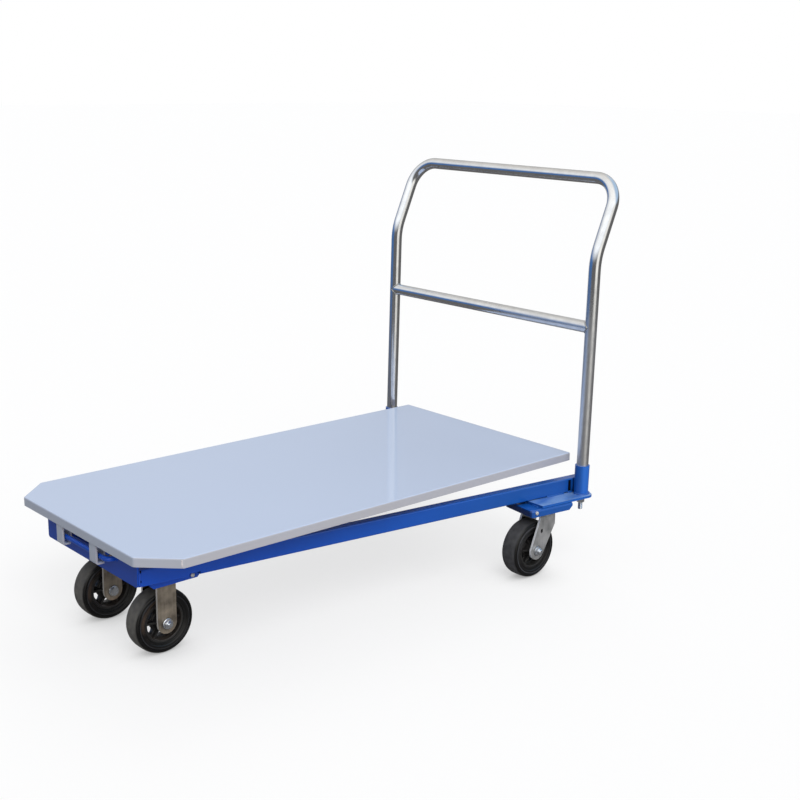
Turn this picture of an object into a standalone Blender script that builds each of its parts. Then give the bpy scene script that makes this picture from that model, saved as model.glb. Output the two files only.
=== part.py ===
"""A nesting platform dolly.

A sheet-metal deck is hinged at its front edge on a V-shaped frame that is open at the rear,
so that the next dolly pushes in from behind and lifts the deck. Two rigid casters stand in
front, two swivel casters behind, and a bent tube handle stands in two sockets at the rear.

Units are metres and +Z is up. The handle end is at +X, the dolly's left side is at -Y. The
sizes below count X from the deck's front edge and Z from the floor. The origin lies on the
floor, under the middle of the overall length.
"""

import math

import bmesh
import bpy
from mathutils import Matrix, Vector

# Sides of the dolly, with the sign of Y
SIDES = (("left", -1), ("right", 1))

# Fits
GAP = 0.0003
RUNNING_GAP = 0.0004
OVERRUN = 0.01
WELD_DISTANCE = 0.000001

# Wheels
WHEEL_RADIUS = 0.0755
WHEEL_WIDTH = 0.0485
TREAD_SIDES = 36
TREAD_FLAT = 0.034
SHOULDER_DROP = 0.005
SIDEWALL_DEPTH = 0.0155
SIDEWALL_STEP = 0.0022
CORE_RADIUS = 0.050
RIM_THICKNESS = 0.0065
RIM_WIDTH = 0.042
WEB_THICKNESS = 0.012
HUB_RADIUS = 0.0205
HUB_WIDTH = 0.0556
HUB_FILLET = 0.004
SPOKE_COUNT = 6
SPOKE_WIDTH = 0.0085
WINDOW_CORNER = 0.003
CORE_SIDES = 24

# Axles
AXLE_BOLT_RADIUS = 0.00635
AXLE_SLEEVE_WALL = 0.0028
AXLE_HEAD_FLATS = 0.019
AXLE_HEAD_HEIGHT = 0.0080
AXLE_NUT_HEIGHT = 0.0100
AXLE_BOLT_REACH = 0.0040

# Casters
CASTER_HEIGHT = 0.1905
CASTER_PLATE_LENGTH = 0.1016
CASTER_PLATE_WIDTH = 0.1016
CASTER_PLATE_THICKNESS = 0.00635
CASTER_PLATE_CORNER = 0.0095
FORK_METAL = 0.00635
FORK_BEND = 0.009
LEG_WIDTH = 0.048
FRONT_CASTER_X = 0.135
FRONT_CASTER_Y = 0.121
REAR_CASTER_X = 1.1445
REAR_CASTER_Y = 0.345
SWIVEL_LEAD = 0.038
UPPER_RACE_RADIUS = 0.036
UPPER_RACE_DEPTH = 0.0082
BALL_RING_HEIGHT = 0.0060
BALL_RING_RADIUS = 0.0335
BALL_RING_WALL = 0.0105
KINGPIN_RADIUS = 0.0095
KINGPIN_SHORTFALL = 0.0015
KINGPIN_HEAD_RADIUS = 0.0135
KINGPIN_HEAD_HEIGHT = 0.0055
CROWN_LENGTH = 0.070
CROWN_RADIUS = 0.0345
LEG_TOP_WIDTH = 0.052
LEG_KINK_HEIGHT = 0.1367
LEG_SLOT_LENGTH = 0.009
LEG_SLOT_WIDTH = 0.0060
LEG_SLOT_HEIGHT = 0.1264

# Caster brackets and the plates above them
BRACKET_METAL = 0.0034
BRACKET_BEND = 0.005
BRACKET_FLANGE_BOTTOM = 0.1755
BRACKET_CORNER = 0.012
BRACKET_SLANT = 0.0105
BRACKET_PLAY = 0.0012
FRONT_BRACKET_LEAD = 0.0038
FRONT_BRACKET_TRAIL = 0.0275
REAR_BRACKET_LEAD = 0.0205
REAR_BRACKET_TRAIL = 0.0165
REAR_BRACKET_NOSE = 0.003
MOUNT_PLATE_THICKNESS = 0.00635
FRONT_MOUNT_FRONT = 0.080
FRONT_MOUNT_REAR = 0.2075
FRONT_MOUNT_INSET = 0.0145
FRONT_MOUNT_CUT = (0.150, 0.176)
FRONT_MOUNT_CUT_Y = 0.1725
BOLT_NOTCH_FRONT = 0.1535
BOLT_NOTCH_REAR = 0.1825
BOLT_NOTCH_HEIGHT = 0.0073
BOLT_NOTCH_DEPTH = 0.018
FOOT_PLATE_FRONT = 1.106
FOOT_PLATE_REAR = 1.286
FOOT_PLATE_OVERHANG = 0.0495
FOOT_PLATE_INNER_LIP = 0.006
FOOT_PLATE_CORNER = 0.020
SIDE_BOLT_RADIUS = 0.0031
SIDE_BOLT_FLATS = 0.0090
SIDE_BOLT_HEAD = 0.0040
SIDE_BOLT_LENGTH = 0.024
FRONT_BOLT_DROP = 0.0038

# Frame
RAIL_WIDTH = 0.0254
RAIL_HEIGHT = 0.0381
RAIL_WALL = 0.0025
RAIL_EDGE_RADIUS = 0.003
RAIL_FRONT_Y = 0.2035
RAIL_REAR_Y = 0.3640
RAIL_END = 1.2845
RAIL_SLOT_LENGTH = 0.0087
RAIL_SLOT_MARGIN = 0.004
FRONT_PLATE_X = 0.0355
FRONT_PLATE_THICKNESS = 0.0048
FRONT_PLATE_CORNER = 0.006
NOTCH_HALF_WIDTH = 0.105
NOTCH_DEPTH = 0.0165
CROSS_BAR_FRONT = 0.286
CROSS_BAR_WIDTH = 0.050
CROSS_BAR_HEIGHT = 0.0127
CROSS_BAR_INSET = 0.004

# Deck
DECK_LENGTH = 1.285
DECK_WIDTH = 0.648
DECK_TOP = 0.295
DECK_SHEET = 0.0027
DECK_LIP = 0.0216
DECK_EDGE_RADIUS = 0.0035
LIP_RETURN = 0.014
CLIP_LENGTH = 0.078
CLIP_WIDTH = 0.0735
STIFFENER_Y = 0.150
STIFFENER_WIDTH = 0.040
STIFFENER_METAL = 0.0025
STIFFENER_START = 0.0340
STIFFENER_STEP = 0.337
STIFFENER_STEP_RUN = 0.005
STIFFENER_END_MARGIN = 0.022
STIFFENER_RISE = 0.0025

# Hinge
HINGE_X = 0.015
HINGE_DROP = 0.0483
HINGE_ROD_RADIUS = 0.006
HINGE_ROD_HALF = 0.115
HINGE_ROD_BEND = 0.014
HOOK_Y = 0.075
HOOK_WIDTH = 0.040
HOOK_METAL = 0.0048
HOOK_BEND = 0.0044
HOOK_FOOT_END = 0.0285
HOOK_REAR_LEG = 0.0289
HOOK_REAR_LEG_GAP = 0.0005

# Handle
SOCKET_X = 1.2668
HANDLE_Y = 0.3812
HANDLE_TUBE_RADIUS = 0.015875
HANDLE_TUBE_WALL = 0.0021
SOCKET_HEIGHT = 0.076
SOCKET_WALL = 0.0030
HANDLE_LEAN = math.radians(1.1)
HANDLE_BEND_ANGLE = math.radians(22.0)
POST_LENGTH = 0.6226
UPPER_LENGTH = 0.2112
POST_BEND_RADIUS = 0.160
HANDLE_CORNER_RADIUS = 0.0744
CROSSBAR_HEIGHT = 0.4434
HANDLE_TUBE_SIDES = 16
STUD_RADIUS = 0.0063
STUD_DROP = 0.0385
STUD_CHAMFER = 0.0012
STUD_HOLE_GAP = 0.0006
PLUG_RADIUS = 0.0125
PLUG_HEIGHT = 0.012
POST_FOOT_RISE = 0.003
HANDLE_NUT_FLANGE_RADIUS = 0.013
HANDLE_NUT_FLANGE = 0.0024
HANDLE_NUT_FLATS = 0.019
HANDLE_NUT_HEIGHT = 0.0185

# Heights that follow from the sizes above
AXLE_HEIGHT = WHEEL_RADIUS * math.cos(math.pi / TREAD_SIDES)
CASTER_PLATE_BOTTOM = CASTER_HEIGHT - CASTER_PLATE_THICKNESS
BRACKET_WEB_BOTTOM = CASTER_HEIGHT + GAP
BRACKET_TOP = BRACKET_WEB_BOTTOM + BRACKET_METAL
MOUNT_BOTTOM = BRACKET_TOP + GAP
MOUNT_TOP = MOUNT_BOTTOM + MOUNT_PLATE_THICKNESS
RAIL_BOTTOM = MOUNT_TOP + GAP
RAIL_TOP = RAIL_BOTTOM + RAIL_HEIGHT
DECK_REST = RAIL_TOP + GAP + CROSS_BAR_HEIGHT
DECK_UNDERSIDE = DECK_TOP - DECK_SHEET
HINGE_HEIGHT = DECK_UNDERSIDE - HINGE_DROP
LIP_BOTTOM = DECK_TOP - DECK_LIP

# How far the brackets reach past the plates, their nose cuts, and where they are bolted
FRONT_BRACKET = (FRONT_BRACKET_LEAD, FRONT_BRACKET_TRAIL, BRACKET_SLANT, 1, FRONT_BOLT_DROP)
REAR_BRACKET = (REAR_BRACKET_LEAD, REAR_BRACKET_TRAIL, REAR_BRACKET_NOSE, -1, 0)

# Widths that follow from the sizes above
FORK_INNER = HUB_WIDTH / 2 + RUNNING_GAP
FORK_OUTER = FORK_INNER + FORK_METAL
SLEEVE_RADIUS = AXLE_BOLT_RADIUS + GAP + AXLE_SLEEVE_WALL
BRACKET_INNER = CASTER_PLATE_WIDTH / 2 + BRACKET_PLAY
BRACKET_OUTER = BRACKET_INNER + BRACKET_METAL
FRONT_PLATE_BACK = FRONT_PLATE_X + FRONT_PLATE_THICKNESS
RAIL_SLOPE = (RAIL_REAR_Y - RAIL_FRONT_Y) / (SOCKET_X - FRONT_PLATE_BACK)
RAIL_ANGLE = math.atan(RAIL_SLOPE)
RAIL_SKEW_WIDTH = RAIL_WIDTH * math.hypot(1, RAIL_SLOPE)
RAIL_SKEW_WALL = RAIL_WALL * math.hypot(1, RAIL_SLOPE)
SOCKET_BORE = HANDLE_TUBE_RADIUS + GAP
SOCKET_RADIUS = SOCKET_BORE + SOCKET_WALL

# The handle's top bar is the rearmost point, so half of its place is the middle of the length
HANDLE_REACH = (
    math.sin(HANDLE_LEAN) * (POST_LENGTH + UPPER_LENGTH * math.cos(HANDLE_BEND_ANGLE))
    + math.cos(HANDLE_LEAN) * UPPER_LENGTH * math.sin(HANDLE_BEND_ANGLE)
    + HANDLE_TUBE_RADIUS
)
MIDDLE_X = (SOCKET_X + HANDLE_REACH) / 2

# How finely curves are drawn
ARC_STEP = math.radians(22.5)
FINE_ARC_STEP = math.radians(11.25)
SMALL_ROUND_SIDES = 16
SHARP_ANGLE = math.radians(35)

PLANE_ACROSS = {
    "X": Matrix(((0, 0, 1), (1, 0, 0), (0, 1, 0))).to_4x4(),
    "Y": Matrix(((1, 0, 0), (0, 0, -1), (0, 1, 0))).to_4x4(),
    "Z": Matrix.Identity(4),
}
DIRECTION = {"X": Vector((1, 0, 0)), "Y": Vector((0, 1, 0)), "Z": Vector((0, 0, 1))}


# Scene and materials

def clear_scene():
    for found in list(bpy.data.objects):
        bpy.data.objects.remove(found, do_unlink=True)
    for found in list(bpy.data.collections):
        bpy.data.collections.remove(found)


def new_collection(name):
    made = bpy.data.collections.new(name)
    bpy.context.scene.collection.children.link(made)
    return made


def new_material(name, colour, metallic, roughness):
    made = bpy.data.materials.new(name)
    made.use_nodes = True
    shader = made.node_tree.nodes["Principled BSDF"]
    shader.inputs["Base Color"].default_value = (*colour, 1)
    shader.inputs["Metallic"].default_value = metallic
    shader.inputs["Roughness"].default_value = roughness
    made.diffuse_color = (*colour, 1)
    return made


def new_empty(name, parent=None, location=(0, 0, 0), rotation=(0, 0, 0)):
    marker = bpy.data.objects.new(name, None)
    parts.objects.link(marker)
    marker.parent = parent
    marker.location = location
    marker.rotation_euler = rotation
    return marker


def place(piece, material, parent, location=(0, 0, 0), rotation=(0, 0, 0)):
    piece.parent = parent
    piece.location = location
    piece.rotation_euler = rotation
    piece.data.materials.clear()
    piece.data.materials.append(material)
    return piece


# Shapes

def new_piece(name, mesh):
    mesh.shade_smooth()
    mesh.set_sharp_from_angle(angle=SHARP_ANGLE)
    piece = bpy.data.objects.new(name, mesh)
    parts.objects.link(piece)
    return piece


def mesh_of_curve(name, curve):
    """The curve's surface as a closed mesh, with its caps welded on and its faces outward."""
    holder = bpy.data.objects.new(name, curve)
    parts.objects.link(holder)
    graph = bpy.context.evaluated_depsgraph_get()
    mesh = bpy.data.meshes.new_from_object(holder.evaluated_get(graph))
    bpy.data.objects.remove(holder)
    bpy.data.curves.remove(curve)
    shape = bmesh.new()
    shape.from_mesh(mesh)
    bmesh.ops.remove_doubles(shape, verts=shape.verts, dist=WELD_DISTANCE)
    bmesh.ops.recalc_face_normals(shape, faces=shape.faces)
    shape.to_mesh(mesh)
    shape.free()
    return mesh


def slab(name, outlines, low, high, across="Z"):
    """Flat outlines, the inner ones holes, extruded from low to high along the axis across.

    An outline's two numbers are (x, y) across Z, (x, z) across Y and (y, z) across X.
    """
    curve = bpy.data.curves.new(name, "CURVE")
    curve.dimensions = "2D"
    curve.fill_mode = "BOTH"
    curve.extrude = (high - low) / 2
    for outline in outlines:
        spline = curve.splines.new("POLY")
        spline.points.add(len(outline) - 1)
        for point, (first, second) in zip(spline.points, outline):
            point.co = (first, second, 0, 1)
        spline.use_cyclic_u = True
    mesh = mesh_of_curve(name, curve)
    mesh.transform(PLANE_ACROSS[across])
    mesh.transform(Matrix.Translation(DIRECTION[across] * (low + high) / 2))
    return new_piece(name, mesh)


def box(name, low, high):
    shape = bmesh.new()
    bmesh.ops.create_cube(shape, size=1)
    middle = (Vector(low) + Vector(high)) / 2
    size = Vector(high) - Vector(low)
    shape.transform(Matrix.Translation(middle) @ Matrix.Diagonal((*size, 1)))
    mesh = bpy.data.meshes.new(name)
    shape.to_mesh(mesh)
    shape.free()
    return new_piece(name, mesh)


def round_bar(name, radius, start, end, sides=SMALL_ROUND_SIDES):
    """A cylinder, or with few sides a prism, between two points."""
    along = Vector(end) - Vector(start)
    shape = bmesh.new()
    bmesh.ops.create_cone(
        shape, cap_ends=True, segments=sides, radius1=radius, radius2=radius, depth=along.length
    )
    turn = DIRECTION["Z"].rotation_difference(along).to_matrix().to_4x4()
    shape.transform(Matrix.Translation((Vector(start) + Vector(end)) / 2) @ turn)
    mesh = bpy.data.meshes.new(name)
    shape.to_mesh(mesh)
    shape.free()
    return new_piece(name, mesh)


def turned(name, profile, sides, across="Z", phase=0):
    """A closed (radius, height) profile turned once round the axis across."""
    shape = bmesh.new()
    points = [shape.verts.new((radius, 0, height)) for radius, height in profile]
    for first, second in zip(points, points[1:] + points[:1]):
        shape.edges.new((first, second))
    mesh = bpy.data.meshes.new(name)
    shape.to_mesh(mesh)
    shape.free()
    piece = new_piece(name, mesh)
    screw = piece.modifiers.new("turn", "SCREW")
    screw.axis = "Z"
    screw.steps = sides
    screw.render_steps = sides
    screw.use_merge_vertices = True
    screw.merge_threshold = WELD_DISTANCE
    screw.use_normal_calculate = True
    graph = bpy.context.evaluated_depsgraph_get()
    solid = bpy.data.meshes.new_from_object(piece.evaluated_get(graph))
    piece.modifiers.clear()
    piece.data = solid
    shape = bmesh.new()
    shape.from_mesh(solid)
    bmesh.ops.recalc_face_normals(shape, faces=shape.faces)
    shape.to_mesh(solid)
    shape.free()
    solid.transform(Matrix.Rotation(phase, 4, "Z"))
    solid.transform(PLANE_ACROSS[across])
    solid.shade_smooth()
    solid.set_sharp_from_angle(angle=SHARP_ANGLE)
    return piece


def tube(name, path, radius, sides):
    """A solid round bar bent along a path."""
    curve = bpy.data.curves.new(name, "CURVE")
    curve.dimensions = "3D"
    curve.bevel_depth = radius
    curve.bevel_resolution = sides // 4 - 1
    curve.use_fill_caps = True
    spline = curve.splines.new("POLY")
    spline.points.add(len(path) - 1)
    for point, place_on_path in zip(spline.points, path):
        point.co = (*place_on_path, 1)
    return new_piece(name, mesh_of_curve(name, curve))


def ribbon(name, path, width, thickness):
    """A strip of sheet, bent along a path in the XZ plane and centred on Y = 0."""
    shape = bmesh.new()
    rows = []
    for x, z in path:
        rows.append([shape.verts.new((x, side * width / 2, z)) for _, side in SIDES])
    for first, second in zip(rows, rows[1:]):
        shape.faces.new((first[0], first[1], second[1], second[0]))
    mesh = bpy.data.meshes.new(name)
    shape.to_mesh(mesh)
    shape.free()
    piece = new_piece(name, mesh)
    solidify = piece.modifiers.new("sheet", "SOLIDIFY")
    solidify.thickness = thickness
    solidify.offset = 0
    solidify.use_even_offset = True
    return piece


def combine(piece, tool, operation="DIFFERENCE"):
    """Cuts the tool from the piece, or joins or intersects them. The tool stays as a guide."""
    parts.objects.unlink(tool)
    cutters.objects.link(tool)
    tool.hide_render = True
    tool.display_type = "WIRE"
    boolean = piece.modifiers.new(tool.name, "BOOLEAN")
    boolean.operation = operation
    boolean.solver = "EXACT"
    boolean.object = tool


def settle(piece):
    """Applies the piece's Booleans, so that it and its tools can be moved apart."""
    graph = bpy.context.evaluated_depsgraph_get()
    mesh = bpy.data.meshes.new_from_object(piece.evaluated_get(graph))
    tools = [each.object for each in piece.modifiers if each.type == "BOOLEAN"]
    piece.modifiers.clear()
    piece.data = mesh
    mesh.name = piece.name
    for tool in tools:
        bpy.data.objects.remove(tool)
    return piece


def round_edges(piece, chosen, radius, segments=2):
    """Rounds the edges for which chosen, given each one's lowest and highest corner, is true."""
    shape = bmesh.new()
    shape.from_mesh(piece.data)
    bmesh.ops.dissolve_limit(
        shape, angle_limit=math.radians(1), verts=shape.verts, edges=shape.edges
    )
    edges = []
    for edge in shape.edges:
        one, other = (vert.co for vert in edge.verts)
        low = Vector(min(pair) for pair in zip(one, other))
        high = Vector(max(pair) for pair in zip(one, other))
        if chosen(low, high):
            edges.append(edge)
    bmesh.ops.bevel(
        shape, geom=edges, offset=radius, segments=segments, profile=0.5, affect="EDGES"
    )
    shape.to_mesh(piece.data)
    shape.free()
    piece.data.shade_smooth()
    piece.data.set_sharp_from_angle(angle=SHARP_ANGLE)


# Outlines

def rounded(corners, radii, closed=True, step=ARC_STEP):
    """Straight runs between the corners, each corner turned in an arc of its radius."""
    corners = [Vector(corner) for corner in corners]
    if not isinstance(radii, (list, tuple)):
        radii = [radii] * len(corners)
    path = []
    for index, (corner, radius) in enumerate(zip(corners, radii)):
        at_end = not closed and index in (0, len(corners) - 1)
        if at_end or radius == 0:
            path.append(corner)
            continue
        back = (corners[index - 1] - corner).normalized()
        ahead = (corners[(index + 1) % len(corners)] - corner).normalized()
        turn = math.pi - back.angle(ahead)
        reach = radius * math.tan(turn / 2)
        centre = corner + (back + ahead).normalized() * radius / math.cos(turn / 2)
        first = corner + back * reach - centre
        last = corner + ahead * reach - centre
        count = max(1, round(turn / step))
        for each in range(count + 1):
            path.append(centre + first.slerp(last, each / count).normalized() * radius)
    return path


def circle(middle, radius, sides=SMALL_ROUND_SIDES):
    turns = [math.tau * each / sides for each in range(sides)]
    return [
        (middle[0] + radius * math.cos(turn), middle[1] + radius * math.sin(turn))
        for turn in turns
    ]


def rectangle(low, high, radius=0):
    corners = ((low[0], low[1]), (high[0], low[1]), (high[0], high[1]), (low[0], high[1]))
    return rounded(corners, radius)


def rail_outer(x):
    """How far the rail's outer face lies from the middle of the dolly."""
    return RAIL_FRONT_Y + (x - FRONT_PLATE_BACK) * RAIL_SLOPE


def deck_outline(clip_inset, side_inset):
    """The deck's plan, drawn in from its front and clipped edges and from its other edges."""
    half = DECK_WIDTH / 2
    run = math.hypot(CLIP_LENGTH, CLIP_WIDTH)
    front_y = half - CLIP_WIDTH + (clip_inset * CLIP_WIDTH - clip_inset * run) / CLIP_LENGTH
    side_x = (clip_inset * run + (CLIP_WIDTH - side_inset) * CLIP_LENGTH) / CLIP_WIDTH
    right = [
        (clip_inset, front_y),
        (side_x, half - side_inset),
        (DECK_LENGTH - side_inset, half - side_inset),
    ]
    return right + [(x, -y) for x, y in reversed(right)]


# Deck

def make_deck_pan(hinge):
    pan = slab("deck_pan", [deck_outline(0, 0)], LIP_BOTTOM, DECK_TOP)
    round_edges(pan, lambda low, high: high.z > DECK_TOP - GAP, DECK_EDGE_RADIUS, 3)
    inside = deck_outline(DECK_SHEET, DECK_SHEET)
    combine(pan, slab("deck_cavity", [inside], LIP_BOTTOM + DECK_SHEET, DECK_UNDERSIDE))
    mouth = deck_outline(DECK_SHEET, DECK_SHEET + LIP_RETURN)
    combine(pan, slab("deck_mouth", [mouth], LIP_BOTTOM - OVERRUN, LIP_BOTTOM + DECK_SHEET + GAP))
    settle(pan)
    place(pan, deck_paint, hinge, hinge_offset)


def make_deck_stiffener(side, sign, hinge):
    """A channel under the deck, deep over the frame and shallow behind, where dollies nest."""
    bottom = DECK_REST + GAP
    shallow = LIP_BOTTOM + STIFFENER_RISE
    top = DECK_UNDERSIDE - GAP
    end = DECK_LENGTH - STIFFENER_END_MARGIN
    corner = STIFFENER_STEP + STIFFENER_STEP_RUN
    outline = (
        (STIFFENER_START, bottom),
        (STIFFENER_STEP, bottom),
        (corner, shallow),
        (end, shallow),
        (end, top),
        (STIFFENER_START, top),
    )
    trough = (
        (STIFFENER_START - OVERRUN, bottom + STIFFENER_METAL),
        (STIFFENER_STEP - STIFFENER_METAL, bottom + STIFFENER_METAL),
        (corner - STIFFENER_METAL, shallow + STIFFENER_METAL),
        (end + OVERRUN, shallow + STIFFENER_METAL),
        (end + OVERRUN, top + OVERRUN),
        (STIFFENER_START - OVERRUN, top + OVERRUN),
    )
    half = STIFFENER_WIDTH / 2
    middle = sign * STIFFENER_Y
    name = f"deck_stiffener_{side}"
    channel = slab(name, [outline], middle - half, middle + half, "Y")
    inner = half - STIFFENER_METAL
    combine(channel, slab(f"trough_{side}", [trough], middle - inner, middle + inner, "Y"))
    settle(channel)
    place(channel, deck_paint, hinge, hinge_offset)


def make_hinge_hook(side, sign, hinge):
    """A bent strap: a short leg behind the rod, a long one before it and a foot under it."""
    front = DECK_SHEET + GAP + HOOK_METAL / 2
    top = DECK_UNDERSIDE - GAP - HOOK_METAL / 2
    foot = HINGE_HEIGHT - HINGE_ROD_RADIUS - GAP - HOOK_METAL / 2
    corners = (
        (HOOK_REAR_LEG, HINGE_HEIGHT + HINGE_ROD_RADIUS + HOOK_REAR_LEG_GAP),
        (HOOK_REAR_LEG, top),
        (front, top),
        (front, foot),
        (HOOK_FOOT_END, foot),
    )
    hook = ribbon(
        f"hinge_hook_{side}", rounded(corners, HOOK_BEND, closed=False), HOOK_WIDTH, HOOK_METAL
    )
    x, y, z = hinge_offset
    place(hook, deck_paint, hinge, (x, y + sign * HOOK_Y, z))


# Frame

def make_front_plate():
    half = RAIL_FRONT_Y
    deep = DECK_REST - NOTCH_DEPTH
    corners = (
        (-half, RAIL_BOTTOM),
        (half, RAIL_BOTTOM),
        (half, DECK_REST),
        (NOTCH_HALF_WIDTH + NOTCH_DEPTH, DECK_REST),
        (NOTCH_HALF_WIDTH, deep),
        (-NOTCH_HALF_WIDTH, deep),
        (-NOTCH_HALF_WIDTH - NOTCH_DEPTH, DECK_REST),
        (-half, DECK_REST),
    )
    radius = FRONT_PLATE_CORNER
    radii = [radius, radius, 0, 0, radius, radius, 0, 0]
    plate = slab(
        "front_cross_plate", [rounded(corners, radii)], FRONT_PLATE_X, FRONT_PLATE_BACK, "X"
    )
    place(plate, frame_paint, dolly)


def make_hinge_rod():
    seat = FRONT_PLATE_X - GAP
    corners = (
        (seat, -HINGE_ROD_HALF, HINGE_HEIGHT),
        (HINGE_X, -HINGE_ROD_HALF, HINGE_HEIGHT),
        (HINGE_X, HINGE_ROD_HALF, HINGE_HEIGHT),
        (seat, HINGE_ROD_HALF, HINGE_HEIGHT),
    )
    path = rounded(corners, HINGE_ROD_BEND, closed=False, step=FINE_ARC_STEP)
    place(tube("hinge_rod", path, HINGE_ROD_RADIUS, SMALL_ROUND_SIDES), frame_paint, dolly)


def rail_plan(front, rear, outer_inset, inner_inset, sign):
    """The plan of the skewed rail, or of its hollow, between two places along the dolly."""
    return [
        (front, sign * (rail_outer(front) - outer_inset)),
        (rear, sign * (rail_outer(rear) - outer_inset)),
        (rear, sign * (rail_outer(rear) - RAIL_SKEW_WIDTH + inner_inset)),
        (front, sign * (rail_outer(front) - RAIL_SKEW_WIDTH + inner_inset)),
    ]


def make_side_rail(side, sign):
    """A rectangular tube, coped round the handle socket, with a slot in its outer wall there.

    A notch in its lower outer edge bares the bolt of the front caster's bracket.
    """
    front = FRONT_PLATE_BACK + GAP
    name = f"side_rail_{side}"
    rail = slab(name, [rail_plan(front, RAIL_END, 0, 0, sign)], RAIL_BOTTOM, RAIL_TOP)
    round_edges(rail, lambda low, high: high.x - low.x > RAIL_REAR_Y, RAIL_EDGE_RADIUS)
    hollow = slab(
        f"rail_hollow_{side}",
        [rail_plan(front - OVERRUN, RAIL_END + OVERRUN, RAIL_SKEW_WALL, RAIL_SKEW_WALL, sign)],
        RAIL_BOTTOM + RAIL_WALL,
        RAIL_TOP - RAIL_WALL,
    )
    combine(rail, hollow)
    notch_front = BOLT_NOTCH_FRONT
    notch_rear = BOLT_NOTCH_REAR
    notch_plan = (
        (notch_front, sign * (rail_outer(notch_front) - BOLT_NOTCH_DEPTH)),
        (notch_rear, sign * (rail_outer(notch_rear) - BOLT_NOTCH_DEPTH)),
        (notch_rear, sign * (rail_outer(notch_rear) + OVERRUN)),
        (notch_front, sign * (rail_outer(notch_front) + OVERRUN)),
    )
    notch_top = RAIL_BOTTOM + BOLT_NOTCH_HEIGHT
    notch = slab(f"rail_notch_{side}", [notch_plan], RAIL_BOTTOM - OVERRUN, notch_top)
    combine(rail, notch)
    slot_front = SOCKET_X - SOCKET_RADIUS - RAIL_SLOT_LENGTH
    inner_y = rail_outer(slot_front) - RAIL_SKEW_WIDTH / 2
    outer_y = rail_outer(RAIL_END) + OVERRUN
    low_y, high_y = sorted((sign * inner_y, sign * outer_y))
    slot = box(
        f"rail_slot_{side}",
        (slot_front, low_y, RAIL_BOTTOM + RAIL_SLOT_MARGIN),
        (RAIL_END + OVERRUN, high_y, RAIL_TOP - RAIL_SLOT_MARGIN),
    )
    combine(rail, slot)
    socket_top = (
        SOCKET_X + math.sin(HANDLE_LEAN) * SOCKET_HEIGHT,
        sign * HANDLE_Y,
        RAIL_BOTTOM + math.cos(HANDLE_LEAN) * SOCKET_HEIGHT,
    )
    cope = round_bar(
        f"rail_cope_{side}",
        SOCKET_RADIUS + 2 * GAP,
        (SOCKET_X, sign * HANDLE_Y, RAIL_BOTTOM - OVERRUN),
        socket_top,
        2 * SMALL_ROUND_SIDES,
    )
    combine(rail, cope)
    settle(rail)
    place(rail, frame_paint, dolly)


def make_cross_bar():
    half = rail_outer(CROSS_BAR_FRONT) - CROSS_BAR_INSET
    bar = box(
        "frame_cross_bar",
        (CROSS_BAR_FRONT, -half, RAIL_TOP + GAP),
        (CROSS_BAR_FRONT + CROSS_BAR_WIDTH, half, DECK_REST),
    )
    place(bar, frame_paint, dolly)


def make_front_mount_plate(side, sign):
    """The plate that ties the rail to the bracket, its outer rear corner cut off at the bolt."""
    front = FRONT_MOUNT_FRONT
    rear = FRONT_MOUNT_REAR
    cut_front, cut_rear = FRONT_MOUNT_CUT
    inner = FRONT_CASTER_Y - BRACKET_OUTER
    corners = (
        (front, sign * inner),
        (front, sign * (rail_outer(front) - FRONT_MOUNT_INSET)),
        (cut_front, sign * (rail_outer(cut_front) - FRONT_MOUNT_INSET)),
        (cut_rear, sign * FRONT_MOUNT_CUT_Y),
        (rear, sign * FRONT_MOUNT_CUT_Y),
        (rear, sign * inner),
    )
    name = f"front_mount_plate_{side}"
    plate = slab(name, [rounded(corners, RAIL_EDGE_RADIUS)], MOUNT_BOTTOM, MOUNT_TOP)
    place(plate, frame_paint, dolly)


def make_rear_foot_plate(side, sign):
    """The plate that carries the rail and the socket, cut parallel to the rail."""
    front = FOOT_PLATE_FRONT
    rear = FOOT_PLATE_REAR
    inset = RAIL_SKEW_WIDTH + FOOT_PLATE_INNER_LIP
    plan = (
        (front, sign * (rail_outer(front) - inset)),
        (front, sign * (rail_outer(front) + FOOT_PLATE_OVERHANG)),
        (rear, sign * (rail_outer(rear) + FOOT_PLATE_OVERHANG)),
        (rear, sign * (rail_outer(rear) - inset)),
    )
    radii = [0, RAIL_EDGE_RADIUS, FOOT_PLATE_CORNER, FOOT_PLATE_CORNER]
    hole = circle((SOCKET_X, sign * HANDLE_Y), STUD_RADIUS + STUD_HOLE_GAP)
    name = f"rear_foot_plate_{side}"
    plate = slab(name, [rounded(plan, radii), hole], MOUNT_BOTTOM, MOUNT_TOP)
    place(plate, frame_paint, dolly)


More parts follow.
